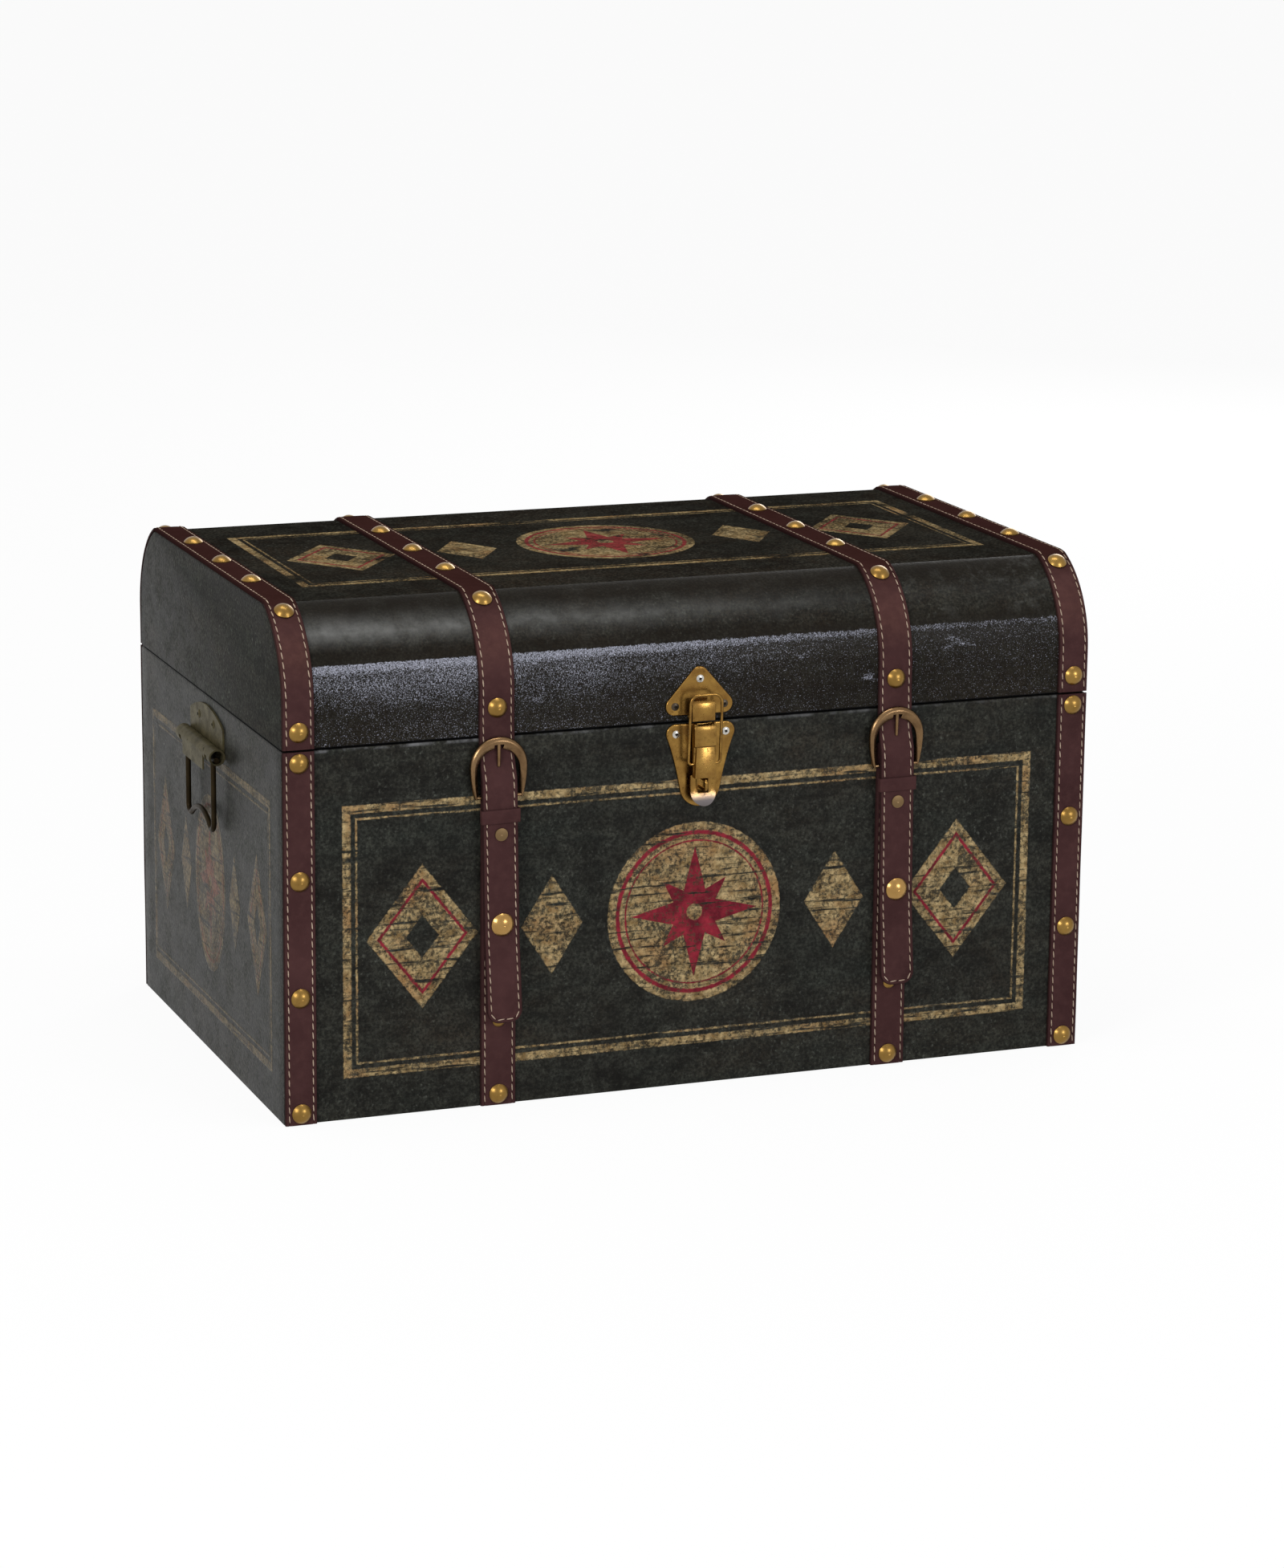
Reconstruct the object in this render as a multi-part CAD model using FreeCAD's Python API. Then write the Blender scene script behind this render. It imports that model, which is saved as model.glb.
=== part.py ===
import FreeCAD, Part
import math
import os

Vector = FreeCAD.Vector

# Storage trunk, in millimetres. The origin is the middle of the underside.
# +X runs to the right seen from the front, the front faces -Y, and +Z is up.

# Box and lid
body_width = 610.0
body_depth = 375.0
base_height = 267.6
seam_gap = 0.8
lid_wall_height = 30.6
shoulder_radius = 69.0
shoulder_sweep = math.radians(68.0)
edge_radius = 2.0
panel_thickness = 9.0
lid_board_thickness = 6.0
floor_thickness = 6.0
cover_thickness = 0.8
lining_thickness = 0.6
cut_overrun = 2.0

# Leather straps
corner_strap_width = 23.0
mid_strap_width = 26.0
strap_thickness = 2.6
strap_edge_radius = 0.8
strap_end_gap = 0.4
mid_strap_inset = 155.0
left_base_strap_shift = 1.6
right_mid_strap_shift = 2.2
mid_strap_drop = 26.0

# Domed nails along the straps
stud_radius = 7.0
stud_height = 4.4
stud_rim = 0.7
small_stud_radius = 4.7
small_stud_height = 2.8
nail_radius = 1.2
nail_length = 7.0
stud_margin = 8.4
back_stud_margin = 22.0
base_stud_count = 4
corner_lid_stud_rise = 12.6
mid_lid_stud_rise = 20.1
shoulder_stud_angle = math.radians(57.5)
top_stud_spacing = 76.0
small_stud_rise = 62.5

# Strap tails that hang from the lid over the front
flap_joint_rise = 2.6
flap_joint_gap = 0.6
flap_lie = 0.5
flap_bend_drop = 16.4
flap_slope_drop = 31.4
flap_standoff = 5.8
flap_length = 208.0
flap_tip_radius = 9.0
flap_lift_height = 60.0
flap_tip_lift = 5.0
left_tail_lean_deg = 0.9
right_tail_lean_deg = 0.6
flap_rivet_drop = 72.0
flap_rivet_radius = 4.6
flap_rivet_height = 1.3
flap_rivet_rim = 0.8
flap_cap_drop = 137.3
flap_cap_radius = 8.25
flap_cap_height = 4.8
flap_cap_rim = 0.9
magnet_radius = 6.5
magnet_thickness = 1.6
magnet_gap = 0.3
keeper_top_drop = 54.0
keeper_height = 10.0
keeper_thickness = 1.2
keeper_clearance = 0.2

# Horseshoe buckles on the tails
buckle_top_rise = 0.4
buckle_height = 44.1
buckle_half_width = 21.25
buckle_tip_half_width = 17.7
buckle_crown = 8.6
buckle_side_width = 5.7
buckle_tip_width = 3.1
buckle_depth = 4.4
buckle_edge_radius = 1.2
buckle_bar_radius = 1.2
buckle_notch_width = 6.2
buckle_notch_height = 3.6
buckle_clearance = 0.3
prong_radius = 1.4
prong_tip_radius = 1.1
prong_length = 12.0
prong_bite = 0.8

# Butt hinges across the back seam
hinge_strap_gap = 34.0
hinge_length = 52.0
hinge_leaf_height = 26.0
hinge_leaf_thickness = 1.5
hinge_knuckle_radius = 3.2
hinge_knuckle_gap = 0.3
hinge_pin_radius = 1.5
running_clearance = 0.05
hinge_screw_spacing = 18.0
hinge_screw_drop = 17.0
hinge_screw_radius = 2.8
hinge_screw_count = 3

# Cross-head wood screws
screw_head_height = 1.1
screw_head_rim = 0.3
screw_shank_radius = 1.3
screw_length = 7.0
screw_slot_width = 0.8
screw_slot_share = 0.55
screw_slot_depth = 0.6

# Drop handles on the two ends
handle_axis_drop = 35.6
handle_barrel_radius = 6.0
handle_barrel_wall = 1.2
handle_barrel_length = 90.0
handle_plate_width = 86.0
handle_plate_thickness = 1.4
handle_plate_side_rise = 19.0
handle_plate_top_rise = 29.0
handle_screw_spacing = 38.0
handle_screw_rise = 18.5
handle_screw_radius = 3.2
handle_wire_radius = 2.0
handle_leg_spacing = 68.0
handle_pin_inset = 1.5
handle_bend_radius = 3.2
handle_corner_radius = 6.0
handle_drop = 54.0
handle_grip_slope = math.radians(37.0)
handle_clearance = 0.3
handle_slot_clearance = 0.9
handle_tongue_width = 54.0
handle_tongue_drop = 12.0

# Draw latch on the front
latch_x = 2.6
catch_x = 1.4
latch_plate_thickness = 1.6
latch_plate_edge_radius = 1.2
catch_top_rise = 39.3
catch_apex_radius = 7.0
catch_lobe_x = 18.6
catch_lobe_rise = 11.4
catch_lobe_radius = 6.8
catch_screw_rise = 30.6
hook_width = 17.4
hook_out = 10.2
hook_sheet = 1.6
hook_rise = 1.2
hook_height = 14.4
hook_slope = 2.4
hook_slope_depth = 1.2
hook_root_height = 8.0
base_lobe_x = 18.8
base_lobe_drop = 8.6
base_lobe_radius = 7.2
base_lobe_turn = math.radians(21.0)
base_bottom_drop = 46.8
base_bottom_radius = 15.4
base_bottom_turn = math.radians(-11.0)
latch_screw_radius = 2.8
latch_pivot_drop = 2.8
latch_pivot_out = 7.5
latch_pin_radius = 1.2
ear_radius = 2.1
ear_thickness = 1.4
ear_gap = 0.2
ear_root_rise = 0.2
ear_root_drop = 6.0
lever_width = 16.4
lever_sheet = 1.4
lever_front_out = 11.2
lever_head_rise = 1.0
lever_head_slope = 3.0
lever_head_slope_depth = 0.8
lever_heel_radius = 2.9
lever_step_drop = 13.6
lever_step_depth = 0.9
lever_brow_drop = 3.0
lever_foot_drop = 35.2
lever_foot_out = 12.6
lever_wall_in = 5.0
lever_wall_foot_in = 8.0
lever_neck_inset = 1.5
tab_width = 19.0
tab_out = 5.7
tab_flare = 4.0
tab_end_drop = 57.2
tab_slot_width = 7.9
tab_slot_top_drop = 36.6
tab_slot_bottom_drop = 48.2
bail_pivot_drop = 26.7
bail_pivot_out = 8.6
bail_wire_radius = 1.05
bail_inner_width = 21.8
bail_height = 50.4
bail_top_out = 11.9
bail_corner_radius = 6.5
bail_foot_radius = 2.4
staple_wire_radius = 1.2
staple_low_drop = 45.3
staple_high_drop = 38.3
staple_out = 13.2
staple_corner_radius = 2.2

# Places worked out from the sizes above
half_width = body_width / 2
half_depth = body_depth / 2
lid_bottom = base_height + seam_gap
seam_z = base_height + seam_gap / 2
shoulder_z = lid_bottom + lid_wall_height
shoulder_y = half_depth - shoulder_radius
lid_top = shoulder_z + shoulder_radius * math.sin(shoulder_sweep)
base_wall = cover_thickness + panel_thickness
lid_wall = cover_thickness + lid_board_thickness
corner_strap_x = half_width - corner_strap_width / 2
mid_strap_x = half_width - mid_strap_inset
strap_places = {"left": -corner_strap_x, "mid_left": left_base_strap_shift - mid_strap_x,
                "mid_right": mid_strap_x + right_mid_strap_shift, "right": corner_strap_x}
lid_strap_places = {**strap_places, "mid_left": -mid_strap_x}
tail_leans = {"left": left_tail_lean_deg, "right": right_tail_lean_deg}
sides = {"left": -1, "right": 1}
flap_top = lid_bottom + flap_joint_rise
flap_tip_z = flap_top - flap_length
flap_rivet_z = flap_top - flap_rivet_drop
flap_cap_z = flap_top - flap_cap_drop
keeper_top_z = flap_top - keeper_top_drop
flap_out = flap_standoff + strap_thickness
buckle_top = seam_z + buckle_top_rise
buckle_tip_z = buckle_top - buckle_height
hinge_x = half_width - corner_strap_width - hinge_strap_gap - hinge_length / 2
hinge_y = half_depth + hinge_knuckle_radius
handle_axis_z = base_height - handle_axis_drop
handle_pivot_out = handle_barrel_radius
handle_bore_radius = handle_barrel_radius - handle_barrel_wall
handle_pivot_z = handle_axis_z - (handle_bore_radius - handle_wire_radius - handle_clearance)
latch_pivot_z = seam_z - latch_pivot_drop
bail_pivot_z = latch_pivot_z - bail_pivot_drop


# Shared shapes

def box(x_low, x_high, y_low, y_high, z_low, z_high):
    return Part.makeBox(x_high - x_low, y_high - y_low, z_high - z_low, Vector(x_low, y_low, z_low))


def front_box(x_low, x_high, out_low, out_high, z_low, z_high):
    """Box measured outwards from the front face."""
    return box(x_low, x_high, -half_depth - out_high, -half_depth - out_low, z_low, z_high)


def front_prism(outline, x_low, x_high):
    """Solid with an (out, z) outline on the front face, from x_low to x_high."""
    points = [Vector(x_low, -half_depth - out, z) for out, z in outline]
    face = Part.Face(Part.makePolygon(points + points[:1]))
    return face.extrude(Vector(x_high - x_low, 0, 0))


def arch_prism(inset, bottom, x_low, x_high):
    """Block with the lid's end outline, moved in from the outer face by inset."""
    radius = shoulder_radius - inset
    end_angle = math.asin((lid_top - inset - shoulder_z) / radius)

    def side_point(side, angle):
        return Vector(x_low, side * (shoulder_y + radius * math.cos(angle)),
                      shoulder_z + radius * math.sin(angle))

    front = [side_point(-1, angle) for angle in (0, end_angle / 2, end_angle)]
    back = [side_point(1, angle) for angle in (end_angle, end_angle / 2, 0)]
    front_foot = Vector(x_low, front[0].y, bottom)
    back_foot = Vector(x_low, back[2].y, bottom)
    edges = [Part.makeLine(front_foot, front[0]), Part.Arc(*front).toShape(),
             Part.makeLine(front[2], back[0]), Part.Arc(*back).toShape(),
             Part.makeLine(back[2], back_foot), Part.makeLine(back_foot, front_foot)]
    return Part.Face(Part.Wire(edges)).extrude(Vector(x_high - x_low, 0, 0))


def rounded(shape, radius, chosen):
    """Round the edges whose end points all pass the given test."""
    edges = [edge for edge in shape.Edges if all(chosen(vertex.Point) for vertex in edge.Vertexes)]
    return shape.makeFillet(radius, edges)


def near(value, target):
    return abs(value - target) < strap_end_gap / 2


def placed(shape, position, direction):
    """Turn a shape made along +Z to the given direction and move it to its place."""
    turned = shape.copy()
    turn = FreeCAD.Rotation(Vector(0, 0, 1), direction)
    turned.Placement = FreeCAD.Placement(position, turn)
    return turned


def dome(radius, height, rim):
    """Low round head on the plane z = 0, with an upright rim."""
    rise = height - rim
    sphere_radius = (radius ** 2 + rise ** 2) / (2 * rise)
    half_angle = math.asin(radius / sphere_radius) / 2
    middle = Vector(sphere_radius * math.sin(half_angle), 0,
                    height - sphere_radius * (1 - math.cos(half_angle)))
    edge, top = Vector(radius, 0, rim), Vector(0, 0, height)
    foot, centre = Vector(radius, 0, 0), Vector(0, 0, 0)
    edges = [Part.makeLine(centre, foot), Part.makeLine(foot, edge),
             Part.Arc(edge, middle, top).toShape(), Part.makeLine(top, centre)]
    return Part.Face(Part.Wire(edges)).revolve(Vector(0, 0, 0), Vector(0, 0, 1), 360)


def nail(radius, height, rim, shank_length):
    shank = Part.makeCylinder(nail_radius, shank_length, Vector(0, 0, -shank_length))
    return dome(radius, height, rim).fuse(shank).removeSplitter()


def screw(radius):
    """Round-headed wood screw with a cross recess."""
    reach = radius * screw_slot_share
    floor = screw_head_height - screw_slot_depth
    head = dome(radius, screw_head_height, screw_head_rim)
    for along, across in ((reach, screw_slot_width / 2), (screw_slot_width / 2, reach)):
        head = head.cut(box(-along, along, -across, across, floor, screw_head_height + cut_overrun))
    shank = Part.makeCylinder(screw_shank_radius, screw_length, Vector(0, 0, -screw_length))
    return head.fuse(shank).removeSplitter()


def wire_solid(edges, radius):
    """Round wire swept along joined edges."""
    path = Part.Wire(edges)
    start = path.Edges[0]
    direction = start.tangentAt(start.FirstParameter)
    ring = Part.Wire([Part.makeCircle(radius, start.valueAt(start.FirstParameter), direction)])
    return path.makePipeShell([ring], True, False)


def belt_face(circles):
    """Flat outline stretched round circles given anticlockwise as (x, z, radius)."""
    angles = []
    for first, second in zip(circles, circles[1:] + circles[:1]):
        along = math.atan2(second[1] - first[1], second[0] - first[0])
        distance = math.hypot(second[0] - first[0], second[1] - first[1])
        angles.append(along - math.acos((first[2] - second[2]) / distance))

    def rim_point(circle, angle):
        return Vector(circle[0] + circle[2] * math.cos(angle), 0, circle[1] + circle[2] * math.sin(angle))

    edges = []
    for index, circle in enumerate(circles):
        start, end = angles[index - 1], angles[index]
        while end < start:
            end += 2 * math.pi
        arc = [rim_point(circle, angle) for angle in (start, (start + end) / 2, end)]
        following = rim_point(circles[(index + 1) % len(circles)], angles[index])
        edges += [Part.Arc(*arc).toShape(), Part.makeLine(arc[2], following)]
    return Part.Face(Part.Wire(edges))


def latch_plate(face, x):
    """Plate on the front face from an outline drawn in the X-Z plane about its middle."""
    plate = face.extrude(Vector(0, -latch_plate_thickness, 0))
    plate.translate(Vector(x, -half_depth, 0))
    outer_y = -half_depth - latch_plate_thickness
    return rounded(plate, latch_plate_edge_radius, lambda point: near(point.y, outer_y))


def save(name, *solids):
    shape = solids[0] if len(solids) == 1 else Part.makeCompound(list(solids))
    shape.exportStep("parts/" + name + ".step")


# Wooden box, covering and lining

def base_panels():
    x_outer, y_outer = half_width - cover_thickness, half_depth - cover_thickness
    x_inner, y_inner = half_width - base_wall, half_depth - base_wall
    top = base_height - cover_thickness
    return {
        "base_floor": box(-x_inner, x_inner, -y_inner, y_inner, 0, floor_thickness),
        "base_front_panel": box(-x_outer, x_outer, -y_outer, -y_inner, 0, top),
        "base_back_panel": box(-x_outer, x_outer, y_inner, y_outer, 0, top),
        "base_left_panel": box(-x_outer, -x_inner, -y_inner, y_inner, 0, top),
        "base_right_panel": box(x_inner, x_outer, -y_inner, y_inner, 0, top),
    }


def base_cover():
    outer = box(-half_width, half_width, -half_depth, half_depth, 0, base_height)
    upright = [edge for edge in outer.Edges if near(edge.Length, base_height)]
    outer = outer.makeFillet(edge_radius, upright)
    x_core, y_core = half_width - cover_thickness, half_depth - cover_thickness
    x_open = half_width - base_wall - lining_thickness
    y_open = half_depth - base_wall - lining_thickness
    core = box(-x_core, x_core, -y_core, y_core, -cut_overrun, base_height - cover_thickness)
    mouth = box(-x_open, x_open, -y_open, y_open, -cut_overrun, base_height + cut_overrun)
    return outer.cut(core).cut(mouth)


def base_lining():
    x_outer, y_outer = half_width - base_wall, half_depth - base_wall
    x_inner, y_inner = x_outer - lining_thickness, y_outer - lining_thickness
    top = base_height - cover_thickness
    outer = box(-x_outer, x_outer, -y_outer, y_outer, floor_thickness, top)
    inner = box(-x_inner, x_inner, -y_inner, y_inner, floor_thickness + lining_thickness, top + cut_overrun)
    return outer.cut(inner)


def lid_shell():
    x_core = half_width - cover_thickness
    x_inner = half_width - base_wall
    x_open = x_inner - lining_thickness
    y_open = half_depth - lid_wall - lining_thickness
    rim_top = lid_bottom + cover_thickness
    below = lid_bottom - cut_overrun
    outer = arch_prism(0, lid_bottom, -half_width, half_width)
    ends = [edge for edge in outer.Edges
            if near(abs(edge.CenterOfMass.x), half_width) and not near(edge.CenterOfMass.z, lid_bottom)]
    outer = outer.makeFillet(edge_radius, ends)
    mouth = box(-x_open, x_open, -y_open, y_open, below, rim_top + cut_overrun)
    cover = outer.cut(arch_prism(cover_thickness, rim_top, -x_core, x_core)).cut(mouth)
    hollow = arch_prism(lid_wall, below, -half_width, half_width)
    board = arch_prism(cover_thickness, rim_top, -x_core, x_core).cut(hollow)
    lined = arch_prism(lid_wall + lining_thickness, below, -x_open, x_open)
    return {
        "lid_cover": cover,
        "lid_arch_board": board,
        "lid_left_end": arch_prism(lid_wall, rim_top, -x_core, -x_inner),
        "lid_right_end": arch_prism(lid_wall, rim_top, x_inner, x_core),
        "lid_lining": arch_prism(lid_wall, rim_top, -x_inner, x_inner).cut(lined),
    }


# Straps and their nails

def base_strap(x, width, side, top):
    """Flat strap up the front (side -1) or the back (side 1) of the base."""
    inner, outer = sorted((side * half_depth, side * (half_depth + strap_thickness)))
    strap = box(x - width / 2, x + width / 2, inner, outer, 0, top)
    face_y = side * (half_depth + strap_thickness)
    return rounded(strap, strap_edge_radius, lambda point: near(point.y, face_y))


def lid_strap(x, width, front_end):
    """Strap over the whole lid, from front_end at the front to the seam at the back."""
    low, high = x - width / 2, x + width / 2
    below = lid_bottom - cut_overrun
    back_end = lid_bottom + strap_end_gap
    reach = half_depth + strap_thickness + cut_overrun
    strap = arch_prism(-strap_thickness, lid_bottom, low, high)
    strap = strap.cut(arch_prism(0, below, low - cut_overrun, high + cut_overrun))
    strap = strap.cut(box(low - cut_overrun, high + cut_overrun, -reach, 0, below, front_end))
    return strap.cut(box(low - cut_overrun, high + cut_overrun, 0, reach, below, back_end))


def base_stud_group():
    large = nail(stud_radius, stud_height, stud_rim, nail_length)
    small = nail(small_stud_radius, small_stud_height, stud_rim, nail_length)
    face = half_depth + strap_thickness
    studs = []
    for name, x in strap_places.items():
        for side, top_margin in ((-1, stud_margin), (1, back_stud_margin)):
            step = (base_height - stud_margin - top_margin) / (base_stud_count - 1)
            heights = [stud_margin + step * index for index in range(base_stud_count)]
            if side < 0 and name.startswith("mid"):
                heights = heights[:1]
                studs.append(placed(small, Vector(x, -face, small_stud_rise), Vector(0, -1, 0)))
            studs += [placed(large, Vector(x, side * face, z), Vector(0, side, 0)) for z in heights]
    return studs


def lid_stud_group():
    stud = nail(stud_radius, stud_height, stud_rim, nail_length)
    face = half_depth + strap_thickness
    arc_radius = shoulder_radius + strap_thickness
    cosine, sine = math.cos(shoulder_stud_angle), math.sin(shoulder_stud_angle)
    studs = []
    for name, x in lid_strap_places.items():
        front_rise = mid_lid_stud_rise if name.startswith("mid") else corner_lid_stud_rise
        for side, rise in ((-1, front_rise), (1, mid_lid_stud_rise)):
            studs.append(placed(stud, Vector(x, side * face, lid_bottom + rise), Vector(0, side, 0)))
            shoulder = Vector(x, side * (shoulder_y + arc_radius * cosine), shoulder_z + arc_radius * sine)
            studs.append(placed(stud, shoulder, Vector(0, side * cosine, sine)))
        for y in (-top_stud_spacing, 0, top_stud_spacing):
            studs.append(placed(stud, Vector(x, y, lid_top + strap_thickness), Vector(0, 0, 1)))
    return studs


# Strap tails with their buckles, made about x = 0 and then leaned and moved to a strap

def hung(shape, side_name):
    """Move a tail's piece to its strap and let it hang slightly askew about the top of its joint."""
    leaned = shape.copy()
    leaned.rotate(Vector(0, 0, flap_top), Vector(0, -1, 0), tail_leans[side_name])
    leaned.translate(Vector(lid_strap_places["mid_" + side_name], 0, 0))
    return leaned


def strap_flap():
    bend_z, slope_z = lid_bottom - flap_bend_drop, lid_bottom - flap_slope_drop
    lift_z = flap_tip_z + flap_lift_height
    inner = [(flap_lie, flap_top), (flap_lie, bend_z), (flap_standoff, slope_z), (flap_standoff, lift_z),
             (flap_standoff + flap_tip_lift, flap_tip_z)]
    outer = [(out + strap_thickness, z) for out, z in reversed(inner)]
    flap = front_prism(inner + outer, -mid_strap_width / 2, mid_strap_width / 2)
    fold_start = Vector(-mid_strap_width / 2, -half_depth - flap_lie - strap_thickness / 2, flap_top)
    fold = Part.makeCylinder(strap_thickness / 2, mid_strap_width, fold_start, Vector(1, 0, 0))
    flap = flap.fuse(fold).removeSplitter()
    tip = [edge for edge in flap.Edges
           if near(edge.CenterOfMass.z, flap_tip_z) and near(abs(edge.CenterOfMass.x), mid_strap_width / 2)]
    return flap.makeFillet(flap_tip_radius, tip)


def buckle_arch(half, tip_half, top):
    """Upright horseshoe outline from tip to tip, its sides curving in below the round crown."""
    centre_z = top - half
    inward, drop = half - tip_half, centre_z - buckle_tip_z
    side_radius = (inward ** 2 + drop ** 2) / (2 * inward)
    half_angle = math.asin(drop / side_radius) / 2
    bow_half = half - side_radius * (1 - math.cos(half_angle))
    bow_z = centre_z - side_radius * math.sin(half_angle)
    tips = [Vector(side * tip_half, 0, buckle_tip_z) for side in (-1, 1)]
    bows = [Vector(side * bow_half, 0, bow_z) for side in (-1, 1)]
    hips = [Vector(side * half, 0, centre_z) for side in (-1, 1)]
    edges = [Part.Arc(tips[0], bows[0], hips[0]).toShape(),
             Part.Arc(hips[0], Vector(0, 0, top), hips[1]).toShape(),
             Part.Arc(hips[1], bows[1], tips[1]).toShape()]
    return edges, tips


def buckle_places():
    """Outward places of the frame's back at its crown and of its bar."""
    crown_out = flap_lie + strap_thickness + buckle_clearance
    bar_out = flap_standoff - buckle_clearance - buckle_bar_radius
    return crown_out, bar_out


def buckle_frame():
    outer, outer_tips = buckle_arch(buckle_half_width, buckle_tip_half_width, buckle_top)
    inner, inner_tips = buckle_arch(buckle_half_width - buckle_side_width,
                                    buckle_tip_half_width - buckle_tip_width, buckle_top - buckle_crown)
    feet = [Part.makeLine(outer_tips[side], inner_tips[side]) for side in (0, 1)]
    face = Part.Face(Part.Wire(Part.__sortEdges__(outer + inner + feet)))
    frame = face.extrude(Vector(0, -buckle_depth, 0))
    frame = frame.makeFillet(buckle_edge_radius, [edge for edge in frame.Edges if near(
        abs(edge.CenterOfMass.y + buckle_depth / 2), buckle_depth / 2) and edge.Length > buckle_depth])
    crown_out, bar_out = buckle_places()
    bar_z = buckle_tip_z + buckle_bar_radius
    reach = buckle_tip_half_width - buckle_tip_width / 2
    bar_start = Vector(-reach, -buckle_depth / 2, bar_z)
    bar = Part.makeCylinder(buckle_bar_radius, 2 * reach, bar_start, Vector(1, 0, 0))
    inner_top = buckle_top - buckle_crown
    notch = box(-buckle_notch_width / 2, buckle_notch_width / 2, -buckle_depth - cut_overrun, cut_overrun,
                inner_top - cut_overrun, inner_top + buckle_notch_height)
    frame = frame.cut(notch).fuse(bar).removeSplitter()
    lean_rise = inner_top - bar_z
    lean_angle = math.degrees(math.atan2(crown_out + buckle_depth / 2 - bar_out, lean_rise))
    frame.rotate(Vector(0, -buckle_depth / 2, bar_z), Vector(1, 0, 0), lean_angle)
    frame.translate(Vector(0, -half_depth - bar_out + buckle_depth / 2, 0))
    return frame


def buckle_prong():
    """Tongue from the notch under the crown down to its hole in the strap."""
    crown_out = buckle_places()[0]
    inner_top = buckle_top - buckle_crown
    root = Vector(0, -half_depth - crown_out - buckle_depth / 2, inner_top + buckle_notch_height)
    tip_z = inner_top - prong_length
    bend_z, slope_z = lid_bottom - flap_bend_drop, lid_bottom - flap_slope_drop
    slope = (flap_standoff - flap_lie) / (bend_z - slope_z)
    strap_out = flap_lie + strap_thickness + slope * (bend_z - tip_z)
    tip = Vector(0, -half_depth - strap_out - prong_tip_radius + prong_bite, tip_z)
    along = tip - root
    shank = Part.makeCone(prong_radius, prong_tip_radius, along.Length, root, along)
    return shank.fuse(Part.makeSphere(prong_tip_radius, tip)).removeSplitter()


def strap_keeper():
    """Leather loop round the tail."""
    half_gap = mid_strap_width / 2 + keeper_clearance
    out_low, out_high = flap_standoff - keeper_clearance, flap_out + keeper_clearance
    low = keeper_top_z - keeper_height
    outer = front_box(-half_gap - keeper_thickness, half_gap + keeper_thickness,
                      out_low - keeper_thickness, out_high + keeper_thickness, low, keeper_top_z)
    inner = front_box(-half_gap, half_gap, out_low, out_high, low - cut_overrun, keeper_top_z + cut_overrun)
    corners = [edge for edge in outer.Edges if near(edge.Length, keeper_height)]
    return outer.makeFillet(strap_edge_radius, corners).cut(inner)


def flap_rivets():
    rivet = nail(flap_rivet_radius, flap_rivet_height, flap_rivet_rim, strap_thickness)
    cap = nail(flap_cap_radius, flap_cap_height, flap_cap_rim, strap_thickness)
    face_y = -half_depth - flap_out
    return [placed(rivet, Vector(0, face_y, flap_rivet_z), Vector(0, -1, 0)),
            placed(cap, Vector(0, face_y, flap_cap_z), Vector(0, -1, 0))]


def flap_magnet():
    face_y = -half_depth - flap_standoff
    return Part.makeCylinder(magnet_radius, magnet_thickness, Vector(0, face_y, flap_cap_z), Vector(0, 1, 0))


def strap_magnet_plate():
    """Steel disc on the base strap that the tail's magnet meets."""
    thickness = flap_standoff - magnet_thickness - magnet_gap - strap_thickness
    face_y = -half_depth - strap_thickness
    return Part.makeCylinder(magnet_radius, thickness, Vector(0, face_y, flap_cap_z), Vector(0, -1, 0))


# Butt hinges

def hinge_knuckle(x_low, x_high, bore):
    start = Vector(x_low, hinge_y, seam_z)
    ring = Part.makeCylinder(hinge_knuckle_radius, x_high - x_low, start, Vector(1, 0, 0))
    hole = Part.makeCylinder(bore, x_high - x_low, start, Vector(1, 0, 0))
    return ring, hole


def hinge_leaf(x, up):
    """One leaf: up is 1 for the lid's leaf with the middle knuckle, -1 for the base's leaf."""
    third = hinge_length / 3
    low, high = x - hinge_length / 2, x + hinge_length / 2
    middle = (low + third + hinge_knuckle_gap / 2, high - third - hinge_knuckle_gap / 2)
    outer = [(low, low + third - hinge_knuckle_gap / 2), (high - third + hinge_knuckle_gap / 2, high)]
    spans = [middle] if up > 0 else outer
    bore = hinge_pin_radius + (running_clearance if up > 0 else 0)
    leaf_y = half_depth + hinge_leaf_thickness
    start = hinge_knuckle_radius + hinge_knuckle_gap
    heights = sorted((seam_z + up * start, seam_z + up * hinge_leaf_height))
    leaf = box(low, high, half_depth, leaf_y, *heights)
    holes = []
    for span in spans:
        root = box(*span, half_depth, leaf_y, *sorted((seam_z, seam_z + up * start)))
        ring, hole = hinge_knuckle(*span, bore)
        leaf = leaf.fuse(root).fuse(ring)
        holes.append(hole)
    for hole in holes:
        leaf = leaf.cut(hole)
    return leaf.removeSplitter()


def hinge_pin(x):
    start = Vector(x - hinge_length / 2, hinge_y, seam_z)
    return Part.makeCylinder(hinge_pin_radius, hinge_length, start, Vector(1, 0, 0))


def hinge_screws(up):
    face_y = half_depth + hinge_leaf_thickness
    middle = (hinge_screw_count - 1) / 2
    return [placed(screw(hinge_screw_radius),
                   Vector(side * hinge_x + (index - middle) * hinge_screw_spacing, face_y,
                          seam_z + up * hinge_screw_drop), Vector(0, 1, 0))
            for side in sides.values() for index in range(hinge_screw_count)]


# Drop handles, made for the right end and mirrored for the left

def mirrored(shape, side):
    return shape if side > 0 else shape.mirror(Vector(0, 0, 0), Vector(1, 0, 0))


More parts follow.
